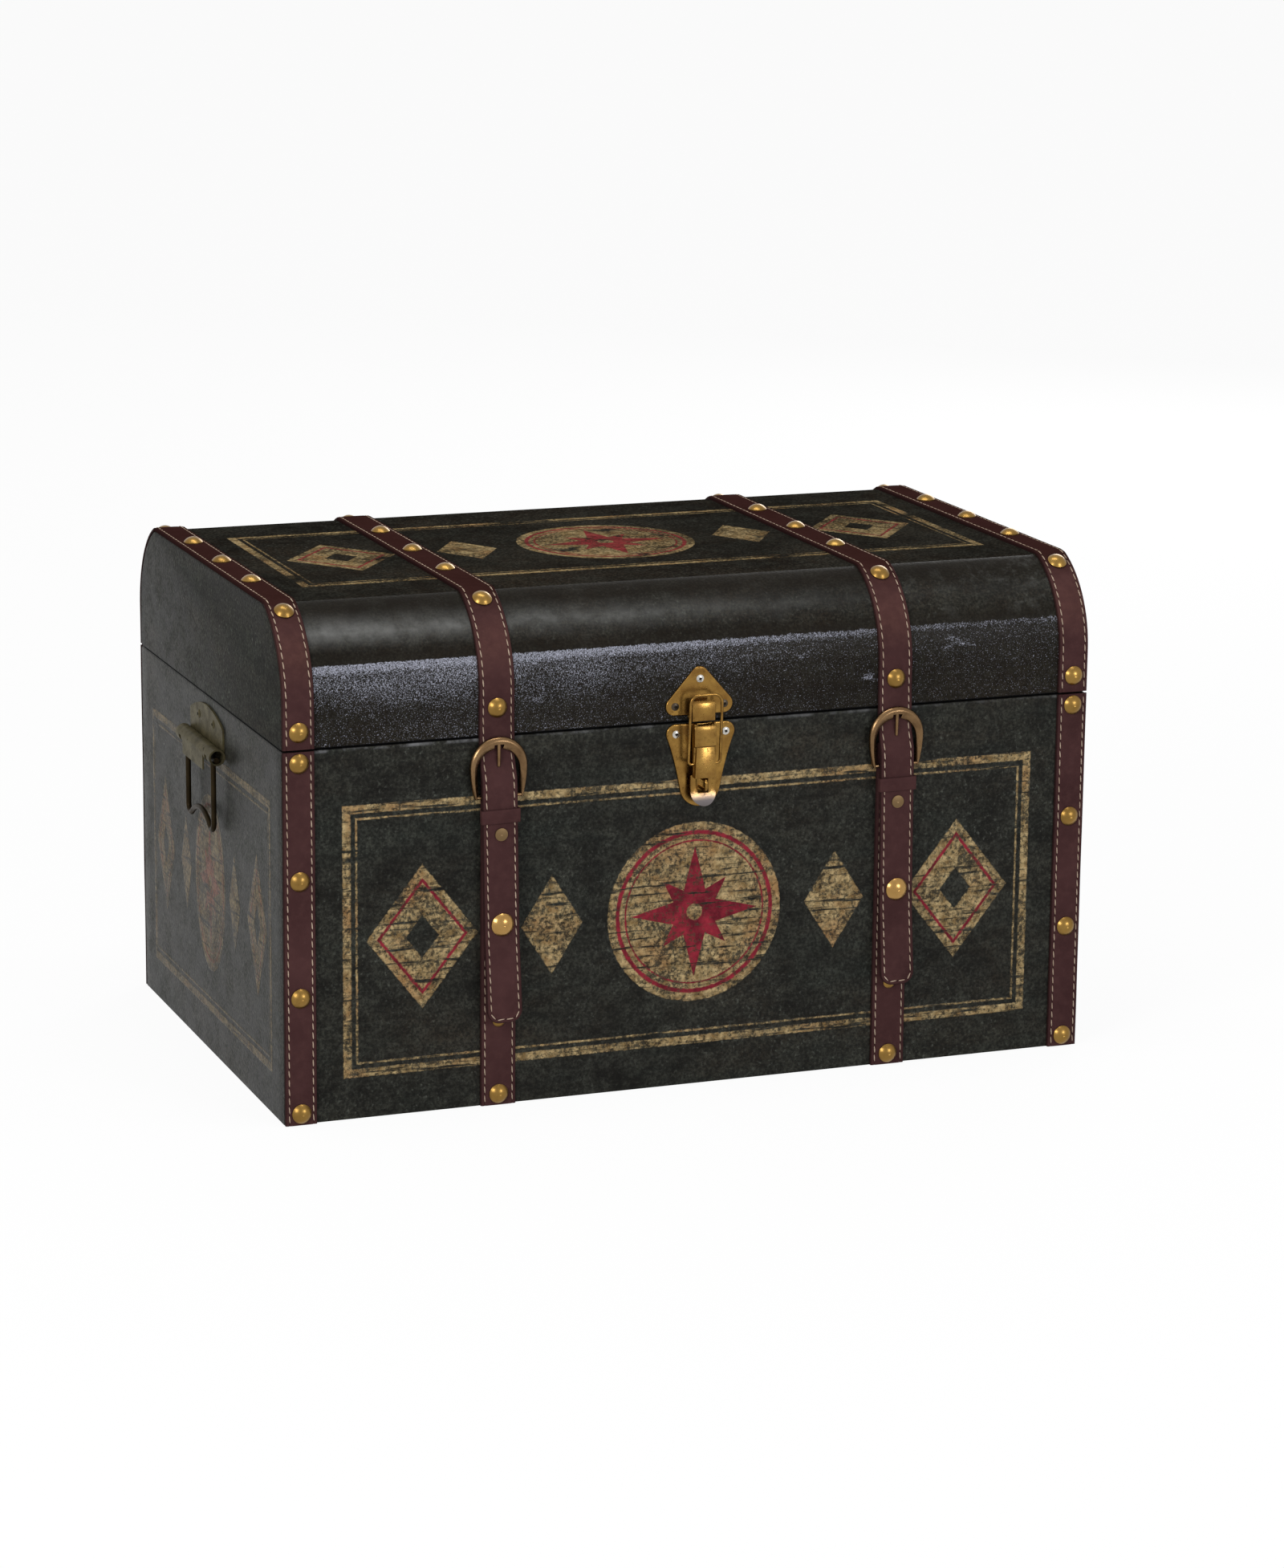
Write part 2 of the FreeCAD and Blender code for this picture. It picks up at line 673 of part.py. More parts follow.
def handle_plate():
    half_plate = handle_plate_width / 2
    side_z, top_z = handle_axis_z + handle_plate_side_rise, handle_axis_z + handle_plate_top_rise
    low = [Vector(half_width, -half_plate, handle_axis_z), Vector(half_width, half_plate, handle_axis_z)]
    high = [Vector(half_width, half_plate, side_z), Vector(half_width, 0, top_z),
            Vector(half_width, -half_plate, side_z)]
    outline = Part.Wire([Part.makeLine(low[0], low[1]), Part.makeLine(low[1], high[0]),
                         Part.Arc(*high).toShape(), Part.makeLine(high[2], low[0])])
    plate = Part.Face(outline).extrude(Vector(handle_plate_thickness, 0, 0))
    half_barrel = handle_barrel_length / 2
    axis_x = half_width + handle_barrel_radius
    start = Vector(axis_x, -half_barrel, handle_axis_z)
    barrel = Part.makeCylinder(handle_barrel_radius, handle_barrel_length, start, Vector(0, 1, 0))
    bore = Part.makeCylinder(handle_bore_radius, handle_barrel_length, start, Vector(0, 1, 0))
    front = axis_x + handle_barrel_radius
    half_tongue = handle_tongue_width / 2
    tongue = box(front - handle_barrel_wall, front, -half_tongue, half_tongue,
                 handle_axis_z - handle_tongue_drop, handle_axis_z)
    plate = plate.fuse(barrel).fuse(tongue).cut(bore)
    room = handle_wire_radius + handle_slot_clearance
    for side in sides.values():
        leg_y = side * handle_leg_spacing / 2
        plate = plate.cut(box(axis_x - room, front + cut_overrun, leg_y - room, leg_y + room,
                              handle_axis_z - handle_barrel_radius - cut_overrun, handle_pivot_z + room))
    return plate.removeSplitter()


def handle_bail():
    """Wire bail with its pins in the barrel and its grip bowed up in the middle."""
    x = half_width + handle_pivot_out
    leg = handle_leg_spacing / 2
    pin_end = handle_barrel_length / 2 - handle_pin_inset
    corner_y = leg - handle_corner_radius
    corner_z = handle_pivot_z - handle_drop + handle_corner_radius
    turn = math.pi / 2 + handle_grip_slope
    grip_y = corner_y - handle_corner_radius * math.sin(handle_grip_slope)
    grip_z = corner_z - handle_corner_radius * math.cos(handle_grip_slope)
    grip_radius = grip_y / math.sin(handle_grip_slope)
    grip_top = grip_z + grip_radius * (1 - math.cos(handle_grip_slope))
    bend = handle_bend_radius
    half_turn = math.sqrt(2) / 2

    def point(side, y, z):
        return Vector(x, side * y, z)

    def leg_edges(side):
        bend_mid = point(side, leg + bend * (1 - half_turn), handle_pivot_z - bend * (1 - half_turn))
        corner_mid = point(side, corner_y + handle_corner_radius * math.cos(turn / 2),
                           corner_z - handle_corner_radius * math.sin(turn / 2))
        outer, shoulder = point(side, pin_end, handle_pivot_z), point(side, leg + bend, handle_pivot_z)
        knee, ankle = point(side, leg, handle_pivot_z - bend), point(side, leg, corner_z)
        return [Part.makeLine(outer, shoulder), Part.Arc(shoulder, bend_mid, knee).toShape(),
                Part.makeLine(knee, ankle), Part.Arc(ankle, corner_mid, point(side, grip_y, grip_z)).toShape()]

    grip = Part.Arc(point(1, grip_y, grip_z), Vector(x, 0, grip_top), point(-1, grip_y, grip_z)).toShape()
    edges = Part.__sortEdges__(leg_edges(1) + [grip] + leg_edges(-1))
    return wire_solid(edges, handle_wire_radius)


def handle_screws():
    spot_x = half_width + handle_plate_thickness
    return [placed(screw(handle_screw_radius),
                   Vector(end * spot_x, side * handle_screw_spacing / 2, handle_axis_z + handle_screw_rise),
                   Vector(end, 0, 0))
            for end in sides.values() for side in sides.values()]


# Draw latch

def catch_plate():
    apex_z = seam_z + catch_top_rise - catch_apex_radius
    lobe_z = seam_z + catch_lobe_rise
    circles = [(0, apex_z, catch_apex_radius), (-catch_lobe_x, lobe_z, catch_lobe_radius),
               (catch_lobe_x, lobe_z, catch_lobe_radius)]
    plate = latch_plate(belt_face(circles), catch_x)
    low = lid_bottom + hook_rise
    left, right = catch_x - hook_width / 2, catch_x + hook_width / 2
    root = front_box(left, right, 0, latch_plate_thickness, low, low + hook_root_height)
    ledge = front_box(left, right, 0, hook_out, low, low + hook_sheet)
    top, lip_in = low + hook_height, hook_out - hook_sheet
    lip = front_prism([(lip_in, low), (hook_out, low), (hook_out, top - hook_slope),
                       (hook_out - hook_slope_depth, top), (lip_in, top)], left, right)
    return plate.fuse(root).fuse(ledge).fuse(lip).removeSplitter()


def latch_pin_hole(radius, length):
    start = Vector(latch_x - length / 2, -half_depth - latch_pivot_out, latch_pivot_z)
    return Part.makeCylinder(radius, length, start, Vector(1, 0, 0))


def base_plate_face():
    """Shield outline: two lobes at the seam, hollow sides and a round foot."""
    lobe_z = seam_z - base_lobe_drop
    foot_z = seam_z - base_bottom_drop

    def mirrored_points(points):
        return [Vector(-point.x, 0, point.z) for point in reversed(points)]

    def lobe_point(angle):
        return Vector(base_lobe_x + base_lobe_radius * math.cos(angle), 0,
                      lobe_z + base_lobe_radius * math.sin(angle))

    def foot_point(angle):
        return Vector(base_bottom_radius * math.cos(angle), 0, foot_z + base_bottom_radius * math.sin(angle))

    lobe = [lobe_point(angle) for angle in (math.pi / 2, (math.pi / 2 - base_lobe_turn) / 2, -base_lobe_turn)]
    side_start, side_end = lobe[2], foot_point(base_bottom_turn)
    sides_made = []
    for sign in (1, -1):
        side_curve = Part.BSplineCurve()
        start_tangent = Vector(-sign * math.sin(base_lobe_turn), 0, -math.cos(base_lobe_turn))
        end_tangent = Vector(sign * math.sin(base_bottom_turn), 0, -math.cos(base_bottom_turn))
        ends = [Vector(sign * point.x, 0, point.z) for point in (side_start, side_end)]
        side_curve.interpolate(Points=ends, InitialTangent=start_tangent, FinalTangent=end_tangent)
        sides_made.append(side_curve.toShape())
    left_lobe = mirrored_points(lobe)
    foot = [side_end, foot_point(-math.pi / 2), Vector(-side_end.x, 0, side_end.z)]
    edges = [Part.Arc(*lobe).toShape(), sides_made[0], Part.Arc(*foot).toShape(), sides_made[1],
             Part.Arc(*left_lobe).toShape(), Part.makeLine(left_lobe[2], lobe[0])]
    return Part.Face(Part.Wire(Part.__sortEdges__(edges)))


def latch_base_plate():
    plate = latch_plate(base_plate_face(), latch_x)
    ear_outer = lever_width / 2 - lever_sheet - ear_gap
    sunk = latch_plate_thickness / 2
    outline = [(sunk, latch_pivot_z + ear_root_rise), (latch_pivot_out, latch_pivot_z + ear_root_rise),
               (latch_pivot_out, latch_pivot_z - ear_radius), (sunk, latch_pivot_z - ear_root_drop)]
    for side in sides.values():
        low, high = sorted((latch_x + side * (ear_outer - ear_thickness), latch_x + side * ear_outer))
        start = Vector(low, -half_depth - latch_pivot_out, latch_pivot_z)
        knuckle = Part.makeCylinder(ear_radius, high - low, start, Vector(1, 0, 0))
        plate = plate.fuse(front_prism(outline, low, high)).fuse(knuckle)
    return plate.cut(latch_pin_hole(latch_pin_radius, lever_width)).removeSplitter()


def latch_lever():
    """Bent sheet lever: a channel at the head, then a flared thumb tab with the staple's slot."""
    step_z, foot_z = latch_pivot_z - lever_step_drop, latch_pivot_z - lever_foot_drop
    head_z, end_z = latch_pivot_z + lever_head_rise, latch_pivot_z - tab_end_drop
    left, right = latch_x - lever_width / 2, latch_x + lever_width / 2
    stepped_out, brow_z = lever_front_out - lever_step_depth, step_z - lever_brow_drop
    front = [(lever_front_out - lever_head_slope_depth, head_z), (lever_front_out, head_z - lever_head_slope),
             (lever_front_out, step_z), (stepped_out, step_z - lever_step_depth), (lever_front_out, brow_z),
             (lever_foot_out, foot_z)]
    back = [(out - lever_sheet, z) for out, z in reversed(front[1:])]
    back.append((lever_front_out - lever_sheet, head_z))
    lever = front_prism(front + back, left, right)
    inner_step = lever_front_out - lever_sheet / 2
    wall = [(lever_wall_in, latch_pivot_z), (inner_step - lever_head_slope_depth / 2, head_z),
            (inner_step, head_z - lever_head_slope), (inner_step, step_z),
            (stepped_out - lever_sheet / 2, step_z - lever_step_depth), (inner_step, brow_z),
            (lever_foot_out - lever_sheet / 2, foot_z), (lever_wall_foot_in, foot_z), (lever_wall_in, step_z)]
    for low, high in ((left, left + lever_sheet), (right - lever_sheet, right)):
        heel = Part.makeCylinder(lever_heel_radius, high - low,
                                 Vector(low, -half_depth - latch_pivot_out, latch_pivot_z), Vector(1, 0, 0))
        lever = lever.fuse(front_prism(wall, low, high)).fuse(heel)
    neck_z, neck_out = step_z - lever_step_depth, stepped_out - lever_sheet
    for edge, inner in ((left, left + lever_neck_inset), (right, right - lever_neck_inset)):
        corner = [Vector(edge, -half_depth - neck_out, neck_z), Vector(inner, -half_depth - neck_out, neck_z),
                  Vector(edge, -half_depth - neck_out, foot_z)]
        notch = Part.Face(Part.makePolygon(corner + corner[:1]))
        lever = lever.cut(notch.extrude(Vector(0, neck_out - lever_foot_out - cut_overrun, 0)))
    ledge = front_box(left, right, tab_out, lever_foot_out, foot_z - lever_sheet, foot_z)
    lever = lever.fuse(ledge).fuse(thumb_tab(foot_z, end_z))
    lever = lever.cut(latch_pin_hole(latch_pin_radius + running_clearance, lever_width))
    start = Vector(left, -half_depth - bail_pivot_out, bail_pivot_z)
    pins = Part.makeCylinder(bail_wire_radius + running_clearance, lever_width, start, Vector(1, 0, 0))
    return lever.cut(pins).removeSplitter()


def thumb_tab(top_z, end_z):
    """Spoon-shaped end of the lever, flared outwards at its round tip."""
    left, right = latch_x - tab_width / 2, latch_x + tab_width / 2
    middle_z = (top_z + end_z) / 2

    def bow(out):
        return [Vector(left, -half_depth - out, top_z), Vector(left, -half_depth - out, middle_z),
                Vector(left, -half_depth - out - tab_flare, end_z)]

    inner, outer = bow(tab_out), bow(tab_out + lever_sheet)
    edges = [Part.Arc(*inner).toShape(), Part.makeLine(inner[2], outer[2]),
             Part.Arc(*outer).toShape(), Part.makeLine(outer[0], inner[0])]
    spoon = Part.Face(Part.Wire(Part.__sortEdges__(edges))).extrude(Vector(tab_width, 0, 0))
    radius = tab_width / 2
    reach = tab_out + tab_flare + lever_sheet + cut_overrun
    centre = Vector(latch_x, -half_depth - reach, end_z + radius)
    round_end = Part.makeCylinder(radius, reach, centre, Vector(0, 1, 0))
    keep = round_end.fuse(front_box(left, right, 0, reach, end_z + radius, top_z))
    slot = front_box(latch_x - tab_slot_width / 2, latch_x + tab_slot_width / 2, 0, reach,
                     latch_pivot_z - tab_slot_bottom_drop, latch_pivot_z - tab_slot_top_drop)
    return spoon.common(keep).cut(slot)


def latch_bail():
    """Closed draw wire: two pins in the lever, two legs and a top bar over the catch."""
    half = bail_inner_width / 2 + bail_wire_radius
    pin_end = lever_width / 2 - lever_sheet
    foot, corner = bail_foot_radius, bail_corner_radius
    short = 1 - math.sqrt(2) / 2

    def leg_edges(side):
        inner, knee = Vector(side * pin_end, 0, 0), Vector(side * (half - foot), 0, 0)
        bend = Vector(side * (half - foot * short), 0, foot * short)
        ankle, shoulder = Vector(side * half, 0, foot), Vector(side * half, 0, bail_height - corner)
        turn = Vector(side * (half - corner * short), 0, bail_height - corner * short)
        top = Vector(side * (half - corner), 0, bail_height)
        return [Part.makeLine(inner, knee), Part.Arc(knee, bend, ankle).toShape(),
                Part.makeLine(ankle, shoulder), Part.Arc(shoulder, turn, top).toShape()]

    bar = Part.makeLine(Vector(half - corner, 0, bail_height), Vector(corner - half, 0, bail_height))
    bail = wire_solid(Part.__sortEdges__(leg_edges(1) + [bar] + leg_edges(-1)), bail_wire_radius)
    lean_angle = math.degrees(math.asin((bail_top_out - bail_pivot_out) / bail_height))
    bail.rotate(Vector(0, 0, 0), Vector(1, 0, 0), lean_angle)
    bail.translate(Vector(latch_x, -half_depth - bail_pivot_out, bail_pivot_z))
    return bail


def latch_staple():
    """Padlock loop that stands out of the base plate through the lever's slot."""
    low, high = latch_pivot_z - staple_low_drop, latch_pivot_z - staple_high_drop
    foot, corner = latch_plate_thickness / 2, staple_corner_radius
    short = corner * (1 - math.sqrt(2) / 2)

    def point(out, z):
        return Vector(latch_x, -half_depth - out, z)

    def turn(edge_z, inward):
        """Leg and rounded corner at one end of the crossbar."""
        leg = Part.makeLine(point(foot, edge_z), point(staple_out - corner, edge_z))
        bend = Part.Arc(point(staple_out - corner, edge_z), point(staple_out - short, edge_z + inward * short),
                        point(staple_out, edge_z + inward * corner)).toShape()
        return [leg, bend]

    bar = Part.makeLine(point(staple_out, low + corner), point(staple_out, high - corner))
    return wire_solid(Part.__sortEdges__(turn(low, 1) + [bar] + turn(high, -1)), staple_wire_radius)


def latch_screws(middle_x, places):
    face_y = -half_depth - latch_plate_thickness
    return [placed(screw(latch_screw_radius), Vector(middle_x + x, face_y, z), Vector(0, -1, 0))
            for x, z in places]


# Every piece in its own file
os.makedirs("parts", exist_ok=True)

for panel_name, panel in base_panels().items():
    save(panel_name, panel)
save("base_cover", base_cover())
save("base_lining", base_lining())
for shell_name, shell in lid_shell().items():
    save(shell_name, shell)

for strap_name, strap_x in strap_places.items():
    is_mid = strap_name.startswith("mid")
    strap_width = mid_strap_width if is_mid else corner_strap_width
    front_top = base_height - (mid_strap_drop if is_mid else strap_end_gap)
    lid_front_end = flap_top + strap_thickness / 2 + flap_joint_gap if is_mid else lid_bottom + strap_end_gap
    save("base_front_strap_" + strap_name, base_strap(strap_x, strap_width, -1, front_top))
    save("base_back_strap_" + strap_name, base_strap(strap_x, strap_width, 1, base_height - strap_end_gap))
    lid_x = lid_strap_places[strap_name]
    save("lid_strap_" + strap_name, lid_strap(lid_x, strap_width, lid_front_end))
save("base_studs", *base_stud_group())
save("lid_studs", *lid_stud_group())
save("strap_magnet_plates", *[hung(strap_magnet_plate(), side_name) for side_name in sides])

for side_name, side_sign in sides.items():
    save("strap_flap_" + side_name, hung(strap_flap(), side_name))
    save("buckle_frame_" + side_name, hung(buckle_frame(), side_name))
    save("buckle_prong_" + side_name, hung(buckle_prong(), side_name))
    save("strap_keeper_" + side_name, hung(strap_keeper(), side_name))
    save("flap_rivets_" + side_name, *[hung(rivet, side_name) for rivet in flap_rivets()])
    save("flap_magnet_" + side_name, hung(flap_magnet(), side_name))
    save("hinge_base_leaf_" + side_name, hinge_leaf(side_sign * hinge_x, -1))
    save("hinge_lid_leaf_" + side_name, hinge_leaf(side_sign * hinge_x, 1))
    save("handle_plate_" + side_name, mirrored(handle_plate(), side_sign))
    save("handle_bail_" + side_name, mirrored(handle_bail(), side_sign))
save("hinge_pins", *[hinge_pin(side_sign * hinge_x) for side_sign in sides.values()])
save("hinge_base_screws", *hinge_screws(-1))
save("hinge_lid_screws", *hinge_screws(1))
save("handle_screws", *handle_screws())

save("latch_base_plate", latch_base_plate())
save("latch_catch_plate", catch_plate())
save("latch_pivot_pin", latch_pin_hole(latch_pin_radius, lever_width))
save("latch_lever", latch_lever())
save("latch_bail", latch_bail())
save("latch_staple", latch_staple())
base_screw_z = seam_z - base_lobe_drop
lid_screw_z = seam_z + catch_lobe_rise
save("latch_base_screws", *latch_screws(latch_x, [(-base_lobe_x, base_screw_z), (base_lobe_x, base_screw_z)]))
save("latch_lid_screws", *latch_screws(catch_x, [(-catch_lobe_x, lid_screw_z), (catch_lobe_x, lid_screw_z),
                                                 (0, seam_z + catch_screw_rise)]))
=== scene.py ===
from math import asin, atan2, copysign, cos, dist, hypot, pi, radians, sin, sqrt
import bmesh
import bpy
from bmesh.types import BMEdge, BMFace, BMVert
from mathutils import Matrix, Vector, noise


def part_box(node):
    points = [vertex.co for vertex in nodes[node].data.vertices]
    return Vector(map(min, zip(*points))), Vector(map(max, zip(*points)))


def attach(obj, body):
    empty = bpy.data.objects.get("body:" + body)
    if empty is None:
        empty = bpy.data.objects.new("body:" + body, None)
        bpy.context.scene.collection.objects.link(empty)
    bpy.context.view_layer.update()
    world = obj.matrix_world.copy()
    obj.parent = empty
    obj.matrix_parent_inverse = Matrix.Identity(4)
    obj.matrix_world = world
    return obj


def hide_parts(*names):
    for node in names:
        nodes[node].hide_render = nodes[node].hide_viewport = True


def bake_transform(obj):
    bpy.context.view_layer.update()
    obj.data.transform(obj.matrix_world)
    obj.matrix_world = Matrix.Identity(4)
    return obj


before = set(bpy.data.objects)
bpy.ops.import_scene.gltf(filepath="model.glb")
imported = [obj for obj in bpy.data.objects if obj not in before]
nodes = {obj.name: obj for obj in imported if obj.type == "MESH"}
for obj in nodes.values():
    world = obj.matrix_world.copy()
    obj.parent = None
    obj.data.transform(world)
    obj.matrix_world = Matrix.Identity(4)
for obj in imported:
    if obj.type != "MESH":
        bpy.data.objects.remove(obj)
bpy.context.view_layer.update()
scene = bpy.context.scene
scene.view_settings.view_transform = "Standard"

# Sizes of the trunk, in metres
half_width, half_depth, base_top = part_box("base_cover")[1]
lid_low, lid_top = (corner.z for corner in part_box("lid_cover"))
seam_z = (base_top + lid_low) / 2
shoulder_z = 0.299
shoulder_radius = 0.069
shoulder_y = half_depth - shoulder_radius
crest_radius = 0.010
cover_edge = 0.002
cover_thickness = 0.0008
cover_sink = 0.00013
cover_grid = 0.017
cloth_thickness = 0.0006
thread_pitch = 0.0016
end_wall = 0.0098
lid_wall = 0.0068

# Measures of the printed label, in millimetres
millimetres = 1000.0
label_z = 128.0
label_half_width = 262.0
label_half_height = 98.0
label_end_squeeze = 0.6
disc_radius = 66.0
disc_core_radius = 6.0

# Heights of the painted highlight streak on the lid's front and of the top edge of the painted sheen below
# it, and of the painted sheen and the painted top shade on the strap leather
streak_line_z = 0.3445
sheen_edge_z = 0.3250
leather_sheen_z = 0.334
top_shade_low = 0.350
top_shade_high = 0.3635

# Sizes of the leather straps
strap_end_gap = 0.0004
strap_wall = 0.0014
strap_shoulder = 0.0020
strap_face = 0.00235
stitch_inset = 0.0028
stitch_pitch = 0.0066
stitch_length = 0.0054
stitch_half_width = 0.00048
stitch_half_height = 0.00040
stitch_centre = 0.00224
stitch_end_gap = 0.003

# Steps in and up from a strap's wall over its rounded edge, through the stitch groove to the middle
strap_section = ((0.00022, 0.00052), (0.00050, 0.00040), (0.00150, 0.00010), (0.00028, -0.00030),
                 (0.00050, 0.0), (0.00028, 0.00030), (0.00160, 0.00012), (0.00350, 0.00006))

# Sizes and heights of the strap tails and their keepers
tail_ease_z = 0.279
tail_ease = 0.008
tail_top = 0.271
tail_bend_z = 0.252
tail_slope_z = 0.237
tail_bend_soft = 0.003
tail_lift_z = 0.123
tail_lift_soft = 0.010
tail_tip = 0.063
tail_tip_radius = 0.009
tail_lie = 0.0005
tail_hang = 0.0058
tail_tip_lift = 0.005
tail_leans = {"left": radians(0.9), "right": radians(0.6)}
lean_from_z = 0.281
lean_over = 0.012
keeper_low = 0.207
keeper_high = 0.217
keeper_in = 0.0044
keeper_out = 0.0098
keeper_spare = 0.0014
keeper_sheet = 0.0012
keeper_corner = 0.0014

# Sizes of the buckles
buckle_top = 0.2684
buckle_low = 0.2243
buckle_half_width = 0.02125
buckle_tip_half_width = 0.0177
buckle_side_width = 0.0057
buckle_tip_width = 0.0031
buckle_crown = 0.0086
buckle_depth = 0.0044
buckle_notch_rim = 0.0050
buckle_bar_radius = 0.0012
buckle_bar_length = 0.0323
buckle_bar_out = 0.0043
buckle_tilt = atan2(0.0013, 0.0343)

# Outline of a buckle's bar as shares of its width, from the outer edge, and of its depth, from the back
buckle_section = ((0.00, 0.22), (0.00, 0.44), (0.05, 0.63), (0.14, 0.81), (0.26, 0.94), (0.36, 1.00),
                  (0.45, 0.97), (0.58, 0.85), (0.75, 0.67), (0.91, 0.49), (1.00, 0.35), (1.00, 0.14),
                  (0.93, 0.00), (0.07, 0.00))

# Screw heads: plates that they stand on, radii, and places along X and Z or along Y
latch_plate = 0.0016
hinge_leaf = 0.0015
handle_plate = 0.0014
screw_radius = 0.0028
handle_screw_radius = 0.0032
screw_rim = 0.0003
screw_dome = 0.0008
screw_cross_z = 0.00035
latch_base_places = ((-0.0162, 0.2594), (0.0214, 0.2594))
latch_lid_places = ((-0.0172, 0.2794), (0.0200, 0.2794), (0.0014, 0.2986))
hinge_x = 0.222
hinge_screw_spacing = 0.018
hinge_base_screw_z = 0.251
hinge_lid_screw_z = 0.285
handle_screw_y = 0.019
handle_screw_z = 0.2505


# Finishes

class Wiring:
    """Nodes of a finish or of the world; each step gives back the new node's output."""

    def __init__(self, owner):
        owner.use_nodes = True
        self.tree = owner.node_tree

    def node(self, kind, inputs, output=0, **settings):
        made = self.tree.nodes.new("ShaderNode" + kind)
        for name, value in settings.items():
            setattr(made, name, value)
        for key, value in inputs.items():
            if isinstance(value, bpy.types.NodeSocket):
                self.tree.links.new(value, made.inputs[key])
            else:
                made.inputs[key].default_value = value
        return made.outputs[output]

    def math(self, operation, first, second=0.0, third=0.0):
        return self.node("Math", {0: first, 1: second, 2: third}, operation=operation)

    def chain(self, operation, total, *others):
        for other in others:
            total = self.math(operation, total, other)
        return total

    def times(self, *values):
        return self.chain("MULTIPLY", *values)

    def plus(self, *values):
        return self.chain("ADD", *values)

    def minus(self, first, second):
        return self.math("SUBTRACT", first, second)

    def absolute(self, value):
        return self.math("ABSOLUTE", value)

    def larger(self, *values):
        return self.chain("MAXIMUM", *values)


class Finish(Wiring):
    """A node-based finish laid out on Object coordinates, in metres."""

    def __init__(self, name, roughness=0.5, specular=0.5, metallic=0.0):
        self.material = bpy.data.materials.new(name)
        super().__init__(self.material)
        self.shader = self.tree.nodes["Principled BSDF"]
        self.shader.inputs["Roughness"].default_value = roughness
        self.shader.inputs["Specular IOR Level"].default_value = specular
        self.shader.inputs["Metallic"].default_value = metallic
        self.place = self.tree.nodes.new("ShaderNodeTexCoord").outputs["Object"]

    def axes(self):
        split = self.tree.nodes.new("ShaderNodeSeparateXYZ")
        self.tree.links.new(self.place, split.inputs[0])
        return split.outputs

    def stretched(self, x=1.0, y=1.0, z=1.0):
        return self.node("Mapping", {"Vector": self.place, "Scale": (x, y, z)})

    def noise(self, scale, detail=4.0, roughness=0.55, at=None):
        return self.node("TexNoise", {"Vector": at or self.place, "Scale": scale, "Detail": detail,
                                      "Roughness": roughness})

    def between(self, value, low, high, start=0.0, end=1.0):
        return self.node("MapRange", {0: value, 1: low, 2: high, 3: start, 4: end})

    def mix(self, share, first, second):
        first, second = (colour if isinstance(colour, bpy.types.NodeSocket) else (*colour, 1.0)
                         for colour in (first, second))
        return self.node("Mix", {0: share, 6: first, 7: second}, output=2, data_type="RGBA")

    def patches(self, scale, detail, roughness, low, high, start=0.0, end=1.0, at=None):
        return self.between(self.noise(scale, detail, roughness, at), low, high, start, end)

    def bump(self, height, distance, strength=1.0, under=None):
        inputs = {"Height": height, "Distance": distance, "Strength": strength}
        if under:
            inputs["Normal"] = under
        return self.node("Bump", inputs)

    def dress(self, colour=None, roughness=None, normal=None):
        for name, value in (("Base Color", colour), ("Roughness", roughness), ("Normal", normal)):
            if value:
                self.tree.links.new(value, self.shader.inputs[name])
        return self.material


def label_print(f, across, up):
    """Cream and red shares of a plain stencilled label, from millimetres across and up from its middle."""
    a = f.absolute(across)
    b = f.absolute(up)
    r = f.math("SQRT", f.plus(f.times(across, across), f.times(up, up)))
    fray = f.times(f.minus(f.noise(420, 3), 0.5), 1.6)

    def inside(distance, soft=0.35):
        return f.between(f.plus(distance, fray), -soft, soft)

    def band(distance, middle, half):
        return inside(f.minus(half, f.absolute(f.minus(distance, middle))))

    def star(first, second, tip, waist):
        long, short = f.larger(first, second), f.math("MINIMUM", first, second)
        slope = (tip - waist) / waist
        return inside(f.minus(tip, f.math("MULTIPLY_ADD", short, slope, long)))

    def lozenge(middle, half_across, half_up, edge):
        """Distance from the middle of a lozenge, scaled to be the given edge at its rim."""
        side = f.absolute(f.minus(a, middle))
        return f.times(f.plus(f.math("DIVIDE", side, half_across), f.math("DIVIDE", b, half_up)), edge)

    turned_a = f.absolute(f.times(f.plus(across, up), sqrt(0.5)))
    turned_b = f.absolute(f.times(f.minus(across, up), sqrt(0.5)))
    large, small = lozenge(204.0, 41.0, 52.0, 30.0), lozenge(108.0, 23.0, 36.0, 18.0)
    past_edge = f.larger(f.minus(a, label_half_width), f.minus(b, label_half_height))
    border, rule = band(past_edge, -3.0, 3.0), band(past_edge, -10.0, 0.7)
    disc, core = inside(f.minus(disc_radius, r)), inside(f.minus(disc_core_radius, r))
    open_lozenge = f.minus(inside(f.minus(30.0, large)), inside(f.minus(9.0, large)))
    points = f.larger(star(a, b, 48.0, 9.9), star(turned_a, turned_b, 34.0, 8.5))
    red = f.larger(band(r, 58.5, 1.5), band(r, 52.6, 0.6), f.minus(points, core), band(large, 23.4, 1.0))
    cream = f.larger(disc, border, rule, open_lozenge, inside(f.minus(18.0, small)))
    return cream, red


